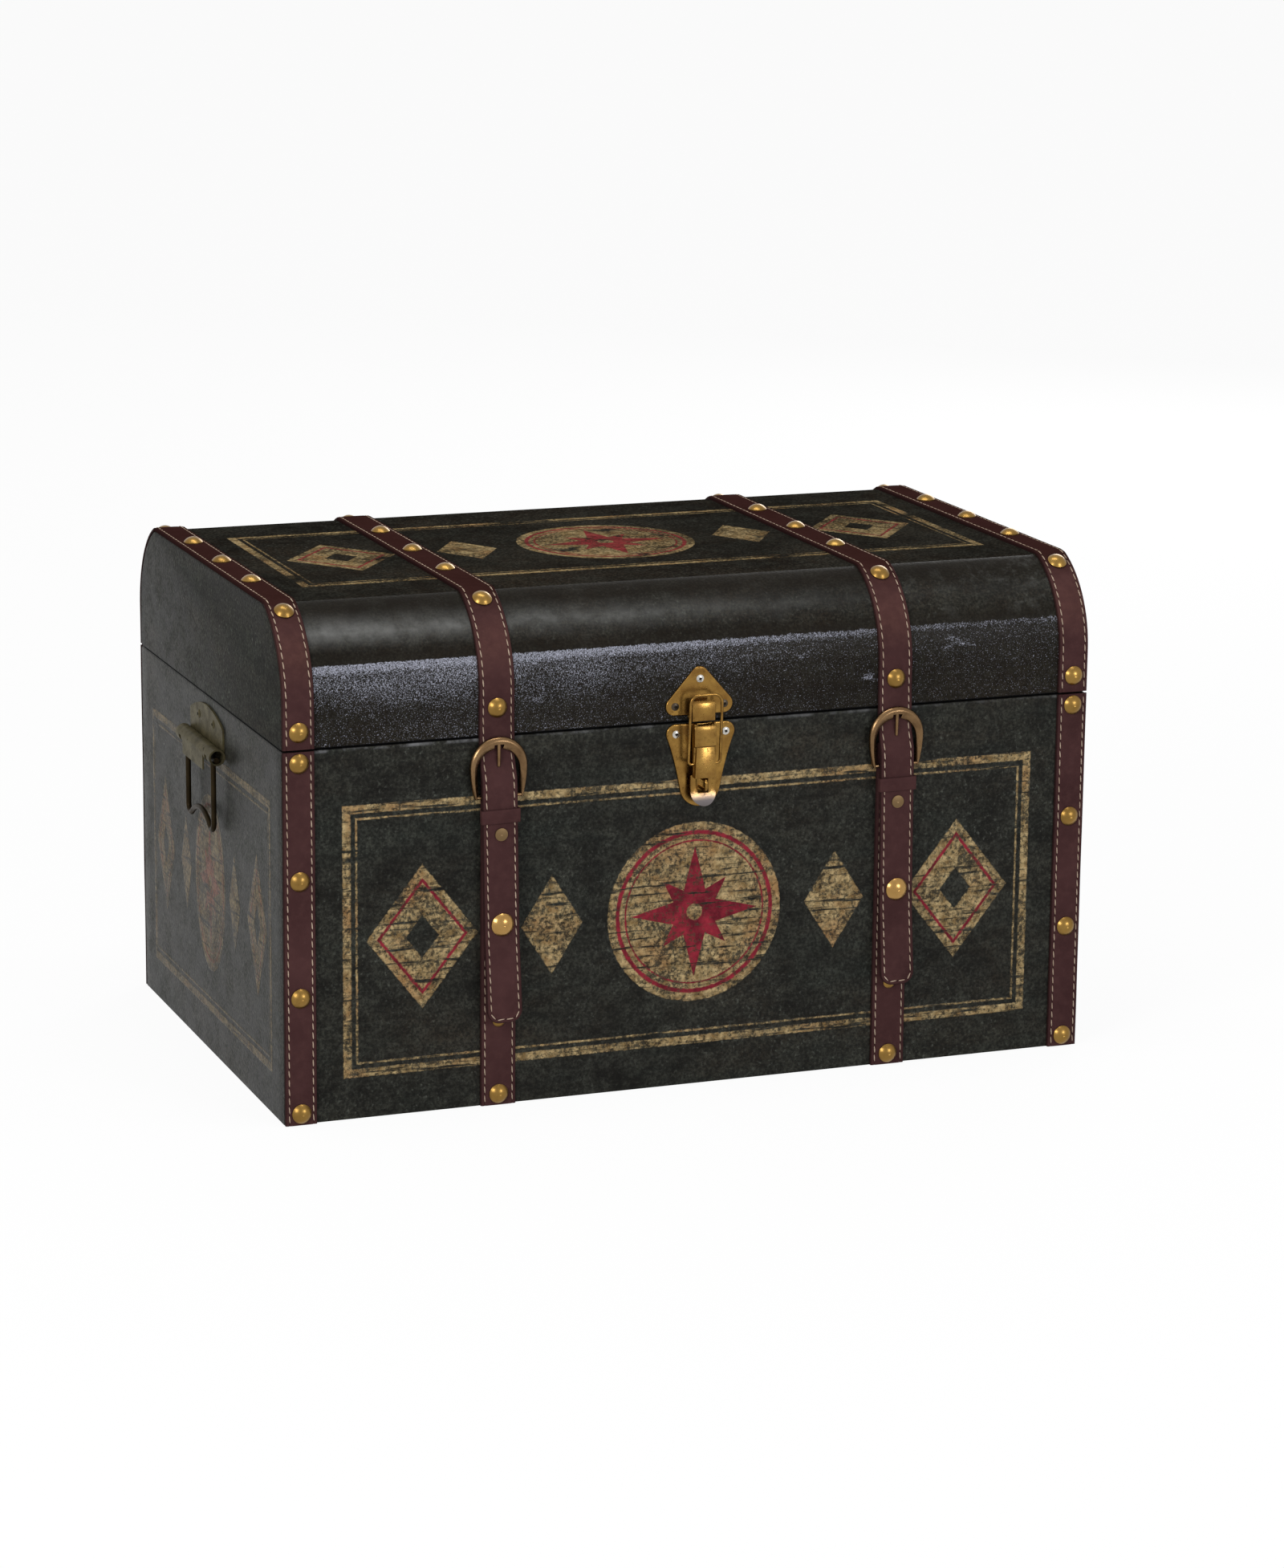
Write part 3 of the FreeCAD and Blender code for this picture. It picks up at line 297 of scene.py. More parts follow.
def covering_ground(f, brown):
    """Colour, grain height and roughness of the dark mottled covering; brown turns it from olive to brown."""
    cloud = f.patches(11, 6, 0.62, 0.39, 0.63, at=f.stretched(z=2.4))
    hue = f.patches(8, 5, 0.62, 0.40, 0.60, at=f.stretched(z=2.8))
    mottle = f.patches(58, 7, 0.70, 0.42, 0.72)
    weft = f.patches(5, 6, 0.66, 0.46, 0.72, at=f.stretched(2.4, 2.4, 40))
    warp = f.patches(5, 6, 0.66, 0.50, 0.76, at=f.stretched(34, 34, 2.2))
    fleck = f.patches(330, 4, 0.62, 0.56, 0.70)
    grain = f.noise(520, 3, 0.65)
    pebble = f.node("TexVoronoi", {"Vector": f.place, "Scale": 560.0})
    deep = (0.0105 + 0.0020 * brown, 0.0104 - 0.0004 * brown, 0.0086 - 0.0012 * brown)
    teal = (0.0205 + 0.0070 * brown, 0.0262 - 0.0045 * brown, 0.0222 - 0.0060 * brown)
    umber = (0.0310 + 0.0010 * brown, 0.0265 - 0.0030 * brown, 0.0195 - 0.0040 * brown)
    colour = f.mix(cloud, deep, f.mix(hue, teal, umber))
    colour = f.mix(f.times(mottle, 0.72 - 0.3 * brown), colour, (0.060, 0.062, 0.050))
    colour = f.mix(f.times(weft, 0.32), colour, (0.058, 0.059, 0.048))
    colour = f.mix(f.times(warp, 0.20), colour, (0.052, 0.053, 0.045))
    fleck = f.times(fleck, f.between(f.noise(13, 3), 0.40, 0.64, 0.15, 0.60 - 0.2 * brown))
    colour = f.mix(fleck, colour, (0.125, 0.132, 0.112))
    colour = f.mix(f.between(grain, 0.34, 0.60, 0.0, 0.80), colour, (0.0060, 0.0058, 0.0052))
    height = f.plus(f.times(pebble, 0.7), f.times(grain, 0.6))
    rough = f.between(f.plus(f.times(grain, 0.6), f.times(mottle, 0.4)), 0.3, 0.8, 0.30, 0.52)
    return colour, height, rough


def seam_shade(f, z, colour):
    """Darken the two rims that meet at the seam."""
    off = f.absolute(f.minus(z, seam_z))
    shade = f.between(off, 0.0013, 0.0009, 0.0, 0.94)
    return f.mix(shade, colour, (0.003, 0.003, 0.003))


def leatherette(name, print_axes=None, print_share=1.0, specular=0.0, brown=1.0):
    """Dark grained covering; print_axes gives millimetres across and up where it is printed."""
    f = Finish(name, specular=specular)
    x, y, z = f.axes()
    colour, height, rough = covering_ground(f, brown)
    # Partly wear, partly painted highlight: a pale line just under the base's front top edge, stronger to the
    # left.
    rim_wear_and_highlight = f.times(f.between(z, base_top - 0.0032, base_top - 0.0018),
                       f.between(z, lid_low, lid_low - 0.0004),
                       f.patches(60, 6, 0.65, 0.46, 0.64),
                       f.between(x, -0.28, 0.20, 0.60, 0.20),
                       f.between(y, -0.170, -0.184))
    colour = seam_shade(f, z, f.mix(rim_wear_and_highlight, colour, (0.22, 0.22, 0.23)))
    if not print_axes:
        return f.dress(colour, rough, f.bump(height, 0.00022, 0.55))
    cream, red = label_print(f, *print_axes(f, x, y, z))
    worn = f.plus(f.noise(430, 5, 0.66), f.times(f.noise(26, 5, 0.6), 0.50))
    speckle = f.between(worn, 0.64, 0.82, 0.10, 1.0)
    scratch = f.patches(5, 6, 0.62, 0.36, 0.46, at=f.stretched(5, 5, 66))
    kept = f.times(speckle, scratch, print_share)
    ochre = f.mix(f.patches(150, 6, 0.65, 0.38, 0.64), (0.165, 0.105, 0.042), (0.430, 0.320, 0.160))
    ochre = f.mix(f.patches(310, 4, 0.6, 0.52, 0.66, 0.0, 0.65), ochre, (0.125, 0.105, 0.062))
    ochre = f.mix(f.patches(34, 5, 0.6, 0.52, 0.68, 0.0, 0.55), ochre, (0.300, 0.155, 0.060))
    colour = f.mix(f.times(cream, kept), colour, ochre)
    wine = f.mix(f.patches(120, 5, 0.6, 0.35, 0.7), (0.085, 0.008, 0.014), (0.26, 0.020, 0.034))
    red_kept = f.times(f.between(kept, 0.0, 0.3), print_share)
    colour = f.mix(f.times(red, red_kept), colour, wine)
    raised = f.plus(cream, f.times(red, 0.8))
    return f.dress(colour, rough, f.bump(height, 0.00022, 0.55, f.bump(raised, 0.00022, 0.9)))


def lid_front_leatherette():
    """Covering of the lid's front and shoulders, with a painted highlight streak round the bend, painted
    shade either side of it, and a painted glittering sheen below.
    """
    f = Finish("leatherette_shoulder", specular=0.03)
    x, y, z = f.axes()
    colour, height, rough = covering_ground(f, 0.8)
    forward = f.between(y, -0.10, -0.15)
    streaks = f.noise(9, 5, 0.6, f.stretched(z=6.0))
    above = f.minus(z, streak_line_z)
    # Painted shade: the shoulder is darkened above and below the painted highlight streak.
    shade = f.larger(f.between(above, 0.0025, 0.0125, 0.0, 0.68),
                     f.between(above, -0.0075, -0.0155, 0.0, 0.60))
    colour = f.mix(f.times(shade, forward), colour, (0.0095, 0.0074, 0.0050))
    # Painted highlight: a pale streak along the shoulder, stronger to the left and broken by streaks and
    # mottling; it stands in for a lamp's reflection.
    uneven = f.plus(above, f.times(f.minus(streaks, 0.5), 0.005))
    painted_streak = f.between(f.absolute(uneven), 0.0135, 0.0010)
    leftward = f.between(x, 0.20, -0.26, 0.26, 1.0)
    mottled = f.patches(85, 5, 0.62, 0.36, 0.62, 0.50, 1.0)
    streaked = f.between(streaks, 0.30, 0.60, 0.60, 1.0)
    painted_streak = f.times(painted_streak, painted_streak, streaked, leftward, leftward, forward, mottled)
    colour = f.mix(f.times(painted_streak, 0.92), colour, (0.165, 0.165, 0.158))
    # Lighter cloudy patches towards the right, just below the painted streak.
    pale_patches = f.times(f.patches(42, 9, 0.78, 0.52, 0.68), f.between(x, 0.12, 0.27, 0.10, 0.50),
                     f.between(above, -0.0185, -0.0105), forward)
    colour = f.mix(pale_patches, colour, (0.098, 0.098, 0.090))
    # Painted sheen: a pale glittering band on the lower lid front, with a ragged top edge and bright spots,
    # brighter to the left; it stands in for light glinting off the grain.
    ragged = f.plus(f.noise(160, 6, 0.7), f.noise(420, 4, 0.7, f.stretched(z=0.25)))
    wander = f.times(f.minus(ragged, 1.0), f.between(x, -0.05, 0.25, 0.0022, 0.0055))
    depth = f.minus(sheen_edge_z, f.plus(z, wander))
    below = f.between(depth, 0.0, 0.0008)
    thinned = f.times(depth, f.between(x, -0.10, 0.16, 1.0, 1.7))
    edge = f.times(f.between(thinned, 0.0045, 0.0120, 1.0, 0.0), f.between(x, -0.06, 0.22, 1.0, 0.48))
    clouds = f.patches(10, 5, 0.62, 0.36, 0.62, 0.45, 1.0, at=f.stretched(z=3.0))
    field = f.times(f.between(depth, 0.014, 0.036, 0.82, 0.26), f.between(x, -0.12, 0.10, 1.0, 0.30))
    sheen_spots = f.patches(24, 4, 0.55, 0.62, 0.71, 0.0, 0.80, at=f.stretched(z=2.4))
    field = f.larger(f.times(field, clouds), sheen_spots)
    sheen_band = f.times(f.larger(edge, field), below, forward)
    sparse = f.math("MULTIPLY_ADD", sheen_band, -0.28, 0.65)
    dense = f.math("MULTIPLY_ADD", sheen_band, -0.12, 0.78)
    painted_glints = f.patches(1250, 2, 0.7, sparse, dense)
    # Painted glints of the sheen, bluish white.
    colour = f.mix(f.times(painted_glints, below, forward), colour, (0.36, 0.37, 0.44))
    colour = seam_shade(f, z, colour)
    return f.dress(colour, rough, f.bump(height, 0.00022, 0.5))


def lining_cloth():
    f = Finish("lining_cloth", roughness=0.9, specular=0.1)
    turns = 2 * pi / thread_pitch
    threads = [f.math("SINE", f.times(axis, turns)) for axis in f.axes()]
    weave = f.plus(*threads, f.noise(900, 2))
    patch = f.noise(18, 4)
    colour = f.mix(f.between(patch, 0.3, 0.7), (0.050, 0.042, 0.030), (0.085, 0.072, 0.052))
    colour = f.mix(f.between(weave, -1.5, 1.5, 0.35, 0.0), colour, (0.024, 0.020, 0.014))
    return f.dress(colour, None, f.bump(weave, 0.00012, 0.7))


def strap_leather(name, specular):
    f = Finish(name, specular=specular)
    cloud = f.patches(24, 5, 0.6, 0.32, 0.70)
    crease = f.noise(170, 5, 0.6)
    pores = f.node("TexVoronoi", {"Vector": f.place, "Scale": 1250.0})
    colour = f.mix(cloud, (0.040, 0.0175, 0.0175), (0.060, 0.0265, 0.0260))
    colour = f.mix(f.between(crease, 0.45, 0.75, 0.0, 0.35), colour, (0.082, 0.038, 0.035))
    z = f.axes()[2]
    # Painted shade: the leather is darker on top of the lid.
    painted_top_shade = f.between(z, top_shade_low, top_shade_high, 0.0, 0.65)
    colour = f.mix(painted_top_shade, colour, (0.024, 0.0080, 0.0055))
    # Painted sheen: a paler band across the straps round the lid's shoulder, broken by the creases.
    painted_sheen = f.between(f.absolute(f.minus(z, leather_sheen_z)), 0.026, 0.004, 0.0, 0.28)
    colour = f.mix(f.times(painted_sheen, f.between(crease, 0.30, 0.60, 0.5, 1.0)), colour, (0.112, 0.052, 0.040))
    rim = f.node("Attribute", {}, output="Fac", attribute_name="rim")
    colour = f.mix(f.times(rim, 0.72), colour, (0.016, 0.0075, 0.0075))
    rough = f.between(crease, 0.3, 0.7, 0.40, 0.56)
    height = f.plus(f.times(pores, 0.5), crease)
    return f.dress(colour, rough, f.bump(height, 0.00010, 0.45))


def thread():
    f = Finish("stitch_thread", roughness=0.75, specular=0.01)
    twist = f.noise(2200, 2)
    shade = f.noise(60, 3)
    colour = f.mix(f.between(shade, 0.3, 0.7), (0.31, 0.225, 0.165), (0.50, 0.390, 0.300))
    colour = f.mix(f.between(twist, 0.35, 0.65, 0.0, 0.4), colour, (0.17, 0.115, 0.080))
    return f.dress(colour, None, f.bump(twist, 0.0002, 0.6))


def aged_metal(name, bright, dull, stain, rough, patch, stained, relief=0.35, change=None, metallic=1.0,
               specular=0.1):
    """Metal with cloudy patina, stains and hairlines; change = (from z, to z, colour) tints one end."""
    f = Finish(name, specular=specular, metallic=metallic)
    cloud = f.patches(patch, 5, 0.6, 0.34, 0.66)
    spots = f.patches(patch * 4.5, 6, 0.68, 0.55, 0.72)
    hair = f.noise(120, 5, 0.6, f.stretched(z=14.0))
    colour = f.mix(cloud, dull, bright)
    colour = f.mix(f.times(spots, stained), colour, stain)
    roughness = f.between(f.plus(f.times(cloud, -0.5), spots), -0.5, 0.8, *rough)
    if change:
        share = f.between(f.axes()[2], change[0], change[1])
        colour = f.mix(share, colour, change[2])
        roughness = f.larger(roughness, f.times(share, 0.48))
    height = f.plus(f.times(hair, 0.6), f.times(spots, -0.5))
    return f.dress(colour, roughness, f.bump(height, 0.00012, relief))


def board_wood():
    f = Finish("board_wood", roughness=0.7, specular=0.25)
    rings = f.noise(9, 5, 0.6, f.stretched(1.0, 9.0, 9.0))
    fibre = f.noise(60, 4, 0.6, f.stretched(1.0, 14.0, 14.0))
    colour = f.mix(f.between(rings, 0.3, 0.7), (0.20, 0.115, 0.055), (0.36, 0.235, 0.125))
    colour = f.mix(f.between(fibre, 0.5, 0.75, 0.0, 0.5), colour, (0.13, 0.075, 0.035))
    return f.dress(colour, None, f.bump(fibre, 0.0003, 0.5))


def front_print(f, x, y, z):
    return f.times(x, millimetres), f.math("MULTIPLY_ADD", z, millimetres, -label_z)


def end_print(f, x, y, z):
    return f.times(y, millimetres / label_end_squeeze), f.math("MULTIPLY_ADD", z, millimetres, -label_z)


def top_print(f, x, y, z):
    return f.times(x, millimetres), f.times(y, millimetres)


front_covering = leatherette("leatherette_front", front_print, specular=0.05, brown=0.2)
end_covering = leatherette("leatherette_end", end_print, print_share=0.36, specular=0.036, brown=0.3)
plain_covering = leatherette("leatherette_plain", specular=0.011, brown=0.3)
top_covering = leatherette("leatherette_top", top_print, print_share=0.85)
shoulder_covering = lid_front_leatherette()
lining = lining_cloth()
leather = strap_leather("strap_leather", 0.006)
level_leather = strap_leather("strap_leather_level", 0.0)
stitching = thread()
wood = board_wood()
stud_brass = aged_metal("stud_brass", (0.27, 0.160, 0.043), (0.19, 0.108, 0.028), (0.09, 0.048, 0.013),
                        (0.29, 0.42), patch=40, stained=0.35, relief=0.10)
rivet_brass = aged_metal("rivet_brass", (0.42, 0.25, 0.085), (0.33, 0.19, 0.060), (0.15, 0.080, 0.025),
                         (0.20, 0.34), patch=50, stained=0.3, relief=0.08,
                         change=(0.160, 0.175, (0.155, 0.100, 0.048)))
latch_brass = aged_metal("latch_brass", (0.30, 0.170, 0.042), (0.165, 0.084, 0.021), (0.050, 0.026, 0.008),
                         (0.20, 0.46), patch=90, stained=0.75)
lever_brass = aged_metal("lever_brass", (0.30, 0.172, 0.044), (0.170, 0.088, 0.023), (0.050, 0.026, 0.008),
                         (0.20, 0.44), patch=90, stained=0.75,
                         change=(0.2190, 0.2115, (0.105, 0.092, 0.090)))
buckle_bronze = aged_metal("buckle_bronze", (0.21, 0.128, 0.062), (0.13, 0.076, 0.036), (0.045, 0.026, 0.014),
                           (0.24, 0.46), patch=80, stained=0.6)
handle_brass = aged_metal("handle_brass", (0.092, 0.078, 0.040), (0.040, 0.034, 0.018), (0.010, 0.008, 0.005),
                          (0.36, 0.60), patch=75, stained=0.8, metallic=0.15, specular=0.02)
handle_wire = aged_metal("handle_wire", (0.026, 0.018, 0.0085), (0.016, 0.011, 0.0055), (0.007, 0.005, 0.003),
                         (0.32, 0.55), patch=90, stained=0.6, metallic=0.3, specular=0.02)
hinge_brass = aged_metal("hinge_brass", (0.24, 0.165, 0.060), (0.150, 0.100, 0.036), (0.050, 0.032, 0.014),
                         (0.26, 0.5), patch=80, stained=0.6)
nickel = aged_metal("bright_nickel", (0.58, 0.56, 0.52), (0.46, 0.44, 0.40), (0.20, 0.18, 0.15),
                    (0.16, 0.34), patch=160, stained=0.4, relief=0.15)
dull_screw = aged_metal("dull_screw", (0.075, 0.058, 0.040), (0.050, 0.038, 0.028), (0.020, 0.015, 0.012),
                        (0.35, 0.55), patch=160, stained=0.5)
# Painted shade for the sunk crosses of the screw heads.
recess_shade = aged_metal("recess_shade", (0.030, 0.026, 0.020), (0.018, 0.015, 0.012), (0.010, 0.008, 0.006),
                         (0.5, 0.8), patch=160, stained=0.5)
magnet_steel = aged_metal("magnet_steel", (0.50, 0.50, 0.50), (0.38, 0.38, 0.38), (0.15, 0.14, 0.13),
                          (0.30, 0.45), patch=120, stained=0.5)


# Shared shaping steps

def everything(bm):
    return bm.verts[:] + bm.edges[:] + bm.faces[:]


def of_kind(kind, geom):
    """The vertices, edges or faces among what a mesh operator gives back."""
    return [item for item in geom if isinstance(item, kind)]


def bevelled(bm, geom, width, segments, affect="EDGES"):
    bmesh.ops.bevel(bm, geom=geom, offset=width, segments=segments, profile=0.5, affect=affect, material=-1)


def face_outward(bm):
    bmesh.ops.recalc_face_normals(bm, faces=bm.faces[:])


def open_edges(bm):
    return [edge for edge in bm.edges if edge.is_boundary]


def remove_faces(bm, faces):
    bmesh.ops.delete(bm, geom=faces, context="FACES_ONLY")


def extruded_edge(bm, edges):
    """The new vertices of the given edges, drawn out but not yet moved."""
    return of_kind(BMVert, bmesh.ops.extrude_edge_only(bm, edges=edges)["geom"])


def cut_across(bm, places, along):
    """Cut the whole mesh with planes square to the given direction."""
    for place in places:
        bmesh.ops.bisect_plane(bm, geom=everything(bm), dist=1e-7, plane_co=along * place, plane_no=along)


def cut_in_blocks(bm, low, high, spacings):
    """Cut the whole mesh along X, Y and Z between two corners, at about the given spacings."""
    for axis, spacing in enumerate(spacings):
        cut_across(bm, steps(low[axis], high[axis], spacing), Matrix.Identity(3)[axis])


def steps(low, high, spacing):
    count = max(1, round((high - low) / spacing))
    return [low + (high - low) * index / count for index in range(1, count)]


def lid_outline(inset):
    """Radii, top, turn and leg lengths of half the lid's end outline, set in by the inset."""
    radius, crest, top = shoulder_radius - inset, crest_radius - inset, lid_top - inset
    lift = top - crest - shoulder_z
    turn = asin(lift / (radius - crest))
    flat = shoulder_y + sqrt((radius - crest) ** 2 - lift ** 2)
    legs = shoulder_z - lid_low, radius * turn, crest * (pi / 2 - turn), flat
    return radius, crest, top, turn, legs


def on_arc(middle_y, middle_z, radius, angle):
    out_y, out_z = -cos(angle), sin(angle)
    return middle_y + radius * out_y, middle_z + radius * out_z, out_y, out_z


def lid_path(distance, inset=0.0):
    """Point and outward direction on the lid's end outline, from its front lower edge over to the back."""
    radius, crest, top, turn, legs = lid_outline(inset)
    wall, arc, painted_sheen, flat = legs
    if distance > sum(legs):
        y, z, out_y, out_z = lid_path(2 * sum(legs) - distance, inset)
        return -y, z, -out_y, out_z
    if distance <= wall:
        return -shoulder_y - radius, lid_low + distance, -1.0, 0.0
    distance -= wall
    if distance <= arc:
        return on_arc(-shoulder_y, shoulder_z, radius, distance / radius)
    distance -= arc
    if distance <= painted_sheen:
        return on_arc(-flat, top - crest, crest, turn + distance / crest)
    return -flat + distance - painted_sheen, top, 0.0, 1.0


def lid_run(inset=0.0):
    """Length of the lid's end outline from the front lower edge to the back one."""
    return 2 * sum(lid_outline(inset)[-1])


def as_mesh(name, bm):
    mesh = bpy.data.meshes.new(name)
    bm.to_mesh(mesh)
    bm.free()
    return mesh


def join(bm, mesh, place):
    """Add a small mesh to a larger one at the given place, and drop it."""
    mesh.transform(place)
    bm.from_mesh(mesh)
    bpy.data.meshes.remove(mesh)


def in_scene(name, data):
    made = bpy.data.objects.new(name, data)
    scene.collection.objects.link(made)
    return made


def piece(name, bm, finishes, body=None, stands_for=(), sharp=40.0):
    mesh = as_mesh(name, bm)
    for finish in finishes:
        mesh.materials.append(finish)
    mesh.shade_smooth()
    mesh.set_sharp_from_angle(angle=radians(sharp))
    made = in_scene(name, mesh)
    if body:
        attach(made, body)
    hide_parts(*stands_for)
    return made


# Covering and lining of the box

def base_covering():
    bm = bmesh.new()
    size = (2 * half_width, 2 * half_depth, base_top, 1)
    place = Matrix.Translation((0, 0, base_top / 2)) @ Matrix.Diagonal(size)
    bmesh.ops.create_cube(bm, size=1.0, matrix=place)
    remove_faces(bm, [face for face in bm.faces if face.normal.z < -0.5])
    edges = [edge for edge in bm.edges if max(vertex.co.z for vertex in edge.verts) > base_top / 2]
    bevelled(bm, edges, cover_edge, 4)
    top = max(bm.faces, key=lambda face: face.calc_center_median().z)
    bmesh.ops.inset_region(bm, faces=[top], thickness=end_wall - cover_edge, use_even_offset=True)
    remove_faces(bm, [top])
    rim = [edge for edge in open_edges(bm) if edge.verts[0].co.z > base_top / 2]
    bmesh.ops.translate(bm, vec=(0, 0, -cover_thickness), verts=extruded_edge(bm, rim))
    foot = [edge for edge in open_edges(bm) if edge.verts[0].co.z < base_top / 2]
    shrink = Matrix.Diagonal((1 - cover_thickness / half_width, 1 - cover_thickness / half_depth, 1, 1))
    bmesh.ops.transform(bm, matrix=shrink, verts=extruded_edge(bm, foot))
    low, high = (-half_width, -half_depth, 0), (half_width, half_depth, base_top)
    cut_in_blocks(bm, low, high, (cover_grid, cover_grid, 0.015))
    settle(bm, 0.012, base_top - 0.012)
    face_outward(bm)
    for face in bm.faces:
        face.material_index = 0 if face.normal.y < -0.7 else 1 if abs(face.normal.x) > 0.7 else 2
    finishes = [front_covering, end_covering, plain_covering]
    return piece("base_covering", bm, finishes, "base", ["base_cover"])


def settle(bm, low, high):
    """Let the glued covering sink by tenths of a millimetre between its edges."""
    close, margin = 0.0001, 0.006
    for vertex in bm.verts:
        x, y, z = vertex.co
        if not low < z < high:
            continue
        sink = cover_sink * (1 + noise.noise(Vector((x * 21, y * 21, z * 34))))
        if abs(y) > half_depth - close and abs(x) < half_width - margin:
            vertex.co.y -= copysign(sink, y)
        elif abs(x) > half_width - close and abs(y) < half_depth - margin:
            vertex.co.x -= copysign(sink, x)


def arch_sheet(inset, reach, low, spacing):
    """Sheet bent over the lid's outline with both ends closed, open below."""
    bm = bmesh.new()
    run = lid_run(inset)
    lengths, widths = round(run / spacing), round(2 * reach / cover_grid)
    place = Matrix.Translation((0, run / 2, 0)) @ Matrix.Diagonal((2 * reach, run, 1, 1))
    bmesh.ops.create_grid(bm, x_segments=widths, y_segments=lengths, size=0.5, matrix=place)
    ends = {}
    for vertex in bm.verts:
        if abs(abs(vertex.co.x) - reach) < 1e-6:
            ends.setdefault(vertex.co.x > 0, []).append((vertex.co.y, vertex))
        y, z = lid_path(vertex.co.y, inset)[:2]
        vertex.co = (vertex.co.x, y, max(z, low))
    for members in ends.values():
        bm.faces.new([vertex for _, vertex in sorted(members, key=lambda item: item[0])])
    face_outward(bm)
    return bm


def lid_covering():
    bm = arch_sheet(0.0, half_width, lid_low, spacing=0.0045)
    caps = [face for face in bm.faces if len(face.verts) > 8]
    edges = {edge for face in caps for edge in face.edges if not edge.is_boundary}
    bevelled(bm, list(edges), cover_edge, 3)
    under = bmesh.ops.edgeloop_fill(bm, edges=open_edges(bm))["faces"]
    face_outward(bm)
    bmesh.ops.inset_region(bm, faces=under, thickness=lid_wall, use_even_offset=True)
    inner = {vertex for face in under for vertex in face.verts}
    for vertex in inner:
        vertex.co.x *= (half_width - end_wall) / (half_width - lid_wall)
    remove_faces(bm, under)
    bmesh.ops.translate(bm, vec=(0, 0, cover_thickness), verts=extruded_edge(bm, open_edges(bm)))
    settle(bm, lid_low + 0.006, shoulder_z)
    face_outward(bm)
    for face in bm.faces:
        face.material_index = 0 if face.normal.z > 0.985 else 2 if abs(face.normal.x) > 0.7 else 1
    finishes = [top_covering, shoulder_covering, plain_covering]
    return piece("lid_covering", bm, finishes, "lid", ["lid_cover"])


def base_lining():
    low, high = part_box("base_lining")
    bm = bmesh.new()
    place = Matrix.Translation((low + high) / 2) @ Matrix.Diagonal((*(high - low), 1))
    bmesh.ops.create_cube(bm, size=1.0, matrix=place)
    remove_faces(bm, [face for face in bm.faces if face.normal.z > 0.5])
    bevelled(bm, [edge for edge in bm.edges if not edge.is_boundary], 0.004, 3)
    cut_in_blocks(bm, low, high, (0.03, 0.03, 0.03))
    face_outward(bm)
    bmesh.ops.solidify(bm, geom=bm.faces[:], thickness=cloth_thickness)
    return piece("base_lining_cloth", bm, [lining], "base", ["base_lining"])


def lid_lining():
    low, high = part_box("lid_lining")
    bm = arch_sheet(lid_wall, high.x, low.z, spacing=0.006)
    bmesh.ops.solidify(bm, geom=bm.faces[:], thickness=cloth_thickness)
    return piece("lid_lining_cloth", bm, [lining], "lid", ["lid_lining"])


# Stitched leather straps, made flat and then laid on the trunk

def flat_strap(width, start, end, spacing, rounded_start=False):
    """Strap lying flat: across X, along Y, grain side up, with a groove for the stitches."""
    bm = bmesh.new()
    half, spare = width / 2, 0.02
    low, high = start if rounded_start else start - spare, end + spare
    outline = ((-half, low), (half, low), (half, high), (-half, high))
    corners = [bm.verts.new((x, y, 0)) for x, y in outline]
    bm.faces.new(corners)
    if rounded_start:
        bevelled(bm, corners[:2], tail_tip_radius, 9, "VERTICES")
    bm.faces.ensure_lookup_table()
    raised = bmesh.ops.extrude_face_region(bm, geom=[bm.faces[0]])["geom"]
    top = of_kind(BMFace, raised)
    bmesh.ops.translate(bm, vec=(0, 0, strap_wall), verts=top[0].verts)
    face_outward(bm)
    for inset, rise in strap_section:
        bmesh.ops.inset_region(bm, faces=top, thickness=inset, depth=rise, use_even_offset=True)
    if not rounded_start:
        trim(bm, start, -1)
    trim(bm, end, 1)
    cut_across(bm, steps(start, end, spacing), Vector((0, 1, 0)))
    return bm


def trim(bm, place, side):
    """Cut the strap's end square and close it."""
    cut = bmesh.ops.bisect_plane(bm, geom=everything(bm), dist=1e-7, plane_co=(0, place, 0),
                                 plane_no=(0, side, 0), clear_outer=True)["geom_cut"]
    bmesh.ops.edgeloop_fill(bm, edges=of_kind(BMEdge, cut))


def stitch_places(width, start, end, rounded_start=False):
    """Middle and direction of each stitch: down one edge, round a rounded tip and up the other."""
    reach = width / 2 - stitch_inset
    upward = pi / 2
    if not rounded_start:
        count = int((end - start - stitch_end_gap) / stitch_pitch)
        first = (start + end - (count - 1) * stitch_pitch) / 2
        rows = [(side, first + index * stitch_pitch) for side in (-1, 1) for index in range(count)]
        return [(side * reach, along, upward) for side, along in rows]
    turn = tail_tip_radius - stitch_inset
    low, high = start + tail_tip_radius, end - stitch_end_gap
    across, quarter = 2 * (reach - turn), turn * pi / 2

    def corner(middle, angle):
        return middle + turn * cos(angle), low + turn * sin(angle), angle + upward

    legs = ((high - low, lambda way: (-reach, high - way, upward)),
            (quarter, lambda way: corner(-across / 2, pi + way / turn)),
            (across, lambda way: (-across / 2 + way, low - turn, 0.0)),
            (quarter, lambda way: corner(across / 2, 1.5 * pi + way / turn)),
            (high - low, lambda way: (reach, low + way, upward)))
    total = sum(length for length, _ in legs)
    count = round(total / stitch_pitch)
    places = []
    for index in range(count):
        way = (index + 0.5) * total / count
        for length, place in legs:
            if way <= length:
                break
            way -= length
        places.append(place(way))
    return places


def one_stitch():
    bm = bmesh.new()
    lying = Matrix.Rotation(pi / 2, 4, "Y")
    bmesh.ops.create_uvsphere(bm, u_segments=8, v_segments=4, radius=1.0, matrix=lying)
    for face in bm.faces:
        face.material_index = 1
    return as_mesh("stitch", bm)


def add_stitches(bm, places):
    size = Matrix.Diagonal((stitch_length / 2, stitch_half_width, stitch_half_height, 1))
    for index, (across, along, angle) in enumerate(places):
        tilt = 0.09 + 0.03 * sin(index * 2.7)
        place = Matrix.Translation((across, along, stitch_centre))
        join(bm, one_stitch(), place @ Matrix.Rotation(angle + tilt, 4, "Z") @ size)


